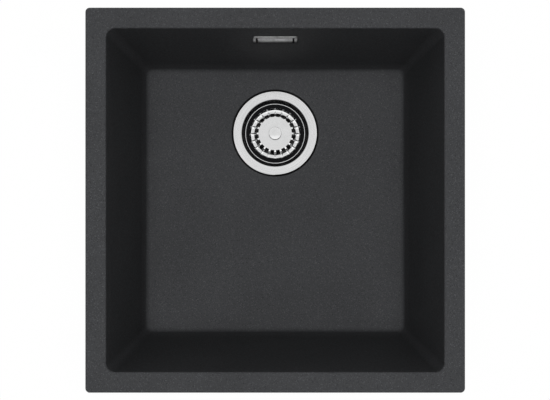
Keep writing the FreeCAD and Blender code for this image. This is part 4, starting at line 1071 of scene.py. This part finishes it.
def floor_finish(sizes):
    """A plain pale floor that keeps a soft shadow and looks white to the camera.

    Under the waste it is left as dark as it is, so that nothing glows up through the drain.
    """
    finish = Finish("plain_floor")
    output = finish.tree.nodes["Material Output"]
    finish.set(Base_Color=tuple(sizes.floor_colour), Roughness=0.9, Specular_IOR_Level=0.2)
    rays = finish.node("ShaderNodeLightPath")
    seen = finish.maths("MAXIMUM", rays.outputs["Is Camera Ray"], rays.outputs["Is Glossy Ray"])
    _, distance = finish.round_the_waste()
    open_floor = finish.spread(distance, 0.0, sizes.floor_glow, sizes.dark_r / 3, sizes.dark_r)
    share = finish.maths("MULTIPLY", seen, open_floor)
    white = finish.node("ShaderNodeEmission", {"Color": (1, 1, 1, 1), "Strength": 1.0})
    both = finish.node("ShaderNodeMixShader")
    finish.join(share, both.inputs[0])
    finish.join(finish.shader.outputs[0], both.inputs[1])
    finish.join(white.outputs[0], both.inputs[2])
    finish.join(both.outputs[0], output.inputs["Surface"])
    return finish.material


# Spans of a direction's Y, towards the front, and of its Z, low over the rim and straight overhead
FRONT_SPAN = (-0.02, -0.16)
SIDE_SPAN = (0.5, 0.3)
OVERHEAD_SPAN = (0.88, 0.96)
# How much wider than the white ceiling's edge its fade reaches
CEILING_FADE = 1.15
# The camera stood a hair off the sink's middle, to the left and behind
CAMERA_SHIFT = (-0.0002, 0.0002)
FLOOR_WIDTH = 12
FLOOR_GAP = 0.0005


def ceiling_stops(sizes):
    """How white reflections are, from level with the sink to straight overhead."""
    dark = (sizes.horizon, sizes.horizon, sizes.horizon, 1)
    white = (1, 1, 1, 1)
    overhead = (sizes.overhead, sizes.overhead, sizes.overhead, 1)
    low = math.cos(sizes.ceiling_edge * CEILING_FADE)
    high = math.cos(sizes.ceiling_edge)
    return (low, dark), (high, white), (OVERHEAD_SPAN[0], white), (OVERHEAD_SPAN[1], overhead)


def make_world(sizes):
    """White to the camera, a white ceiling in reflections, and plain light on the surfaces."""
    world = bpy.data.worlds.new("studio")
    bpy.context.scene.world = world
    world.use_nodes = True
    sky = Nodes(world.node_tree)
    background = sky.tree.nodes["Background"]
    sky.join((1, 1, 1, 1), background.inputs["Color"])
    rays = sky.node("ShaderNodeLightPath")
    towards = sky.node("ShaderNodeTexCoord").outputs["Generated"]
    parts = sky.node("ShaderNodeSeparateXYZ", {"Vector": towards})
    ceiling = sky.ramp(parts.outputs["Z"], *ceiling_stops(sizes))
    front = sky.spread(parts.outputs["Y"], 1, 1 + sizes.front_window, *FRONT_SPAN)
    mirrored = sky.maths("MULTIPLY", ceiling, front)
    around = sky.spread(parts.outputs["Y"], sizes.side_light / 2, sizes.side_light, -1, 0)
    light = sky.spread(parts.outputs["Z"], 0, around, *SIDE_SPAN)
    seen = sky.maths("MAXIMUM", rays.outputs["Is Camera Ray"], rays.outputs["Is Transmission Ray"])
    plain = sky.blend(seen, light, 1)
    sky.join(sky.blend(rays.outputs["Is Glossy Ray"], plain, mirrored), background.inputs["Strength"])


def make_lamp(sizes):
    """One wide soft lamp above the sink."""
    lamp = bpy.data.lights.new("overhead_softbox", "AREA")
    lamp.shape = "DISK"
    lamp.size = sizes.lamp_width
    lamp.energy = sizes.lamp_power
    holder = bpy.data.objects.new("overhead_softbox", lamp)
    holder.location = (0, 0, sizes.lamp_height)
    holder.visible_glossy = False
    bpy.context.scene.collection.objects.link(holder)


def make_camera(sizes):
    """The camera above the sink, which looks straight down."""
    camera = bpy.data.cameras.new("camera")
    camera.sensor_width = 36
    camera.lens = sizes.camera_lens
    holder = bpy.data.objects.new("camera", camera)
    holder.location = (*CAMERA_SHIFT, sizes.camera_height)
    bpy.context.scene.collection.objects.link(holder)
    bpy.context.scene.camera = holder


class SINK_OT_stage(Operator):
    """Sets up the floor, the lamp, the surroundings and the camera"""
    bl_idname = "sink.stage"
    bl_label = "Stage"

    def execute(self, context):
        sizes = context.scene.sink_stage
        deselect_all()
        below = CAD_BOX[0][2] - FLOOR_GAP
        bpy.ops.mesh.primitive_plane_add(size=FLOOR_WIDTH, location=(0, 0, below))
        floor = started("floor")
        settle(floor)
        clothe(floor, floor_finish(sizes))
        make_world(sizes)
        make_lamp(sizes)
        make_camera(sizes)
        context.scene.view_settings.view_transform = "Standard"
        return {"FINISHED"}


class SINK_PT_panel(Panel):
    """The sink's steps in the order in which they are run"""
    bl_idname = "SINK_PT_panel"
    bl_label = "Kitchen sink"
    bl_space_type = "VIEW_3D"
    bl_region_type = "UI"
    bl_category = "Sink"

    def draw(self, context):
        for step in STEPS:
            self.layout.operator(step.bl_idname)


GROUPS = {
    "sink_stone": StoneFinish,
    "sink_steel": SteelFinish,
    "sink_plastic": PlasticFinish,
    "sink_basket": BasketSizes,
    "sink_knob": KnobSizes,
    "sink_hose": HoseSizes,
    "sink_stage": StageSizes,
}
STEPS = (SINK_OT_bowl, SINK_OT_flange, SINK_OT_basket, SINK_OT_seals, SINK_OT_mouldings,
         SINK_OT_fasteners, SINK_OT_hose, SINK_OT_stage)


def register():
    for kind in (*GROUPS.values(), *STEPS, SINK_PT_panel):
        bpy.utils.register_class(kind)
    for name, kind in GROUPS.items():
        setattr(bpy.types.Scene, name, PointerProperty(type=kind))


def unregister():
    for name in GROUPS:
        delattr(bpy.types.Scene, name)
    for kind in (SINK_PT_panel, *reversed(STEPS), *reversed(GROUPS.values())):
        bpy.utils.unregister_class(kind)


def main():
    """Runs every step."""
    register()
    for step in STEPS:
        family, name = step.bl_idname.split(".")
        getattr(getattr(bpy.ops, family), name)()
    deselect_all()


if __name__ == "__main__":
    main()
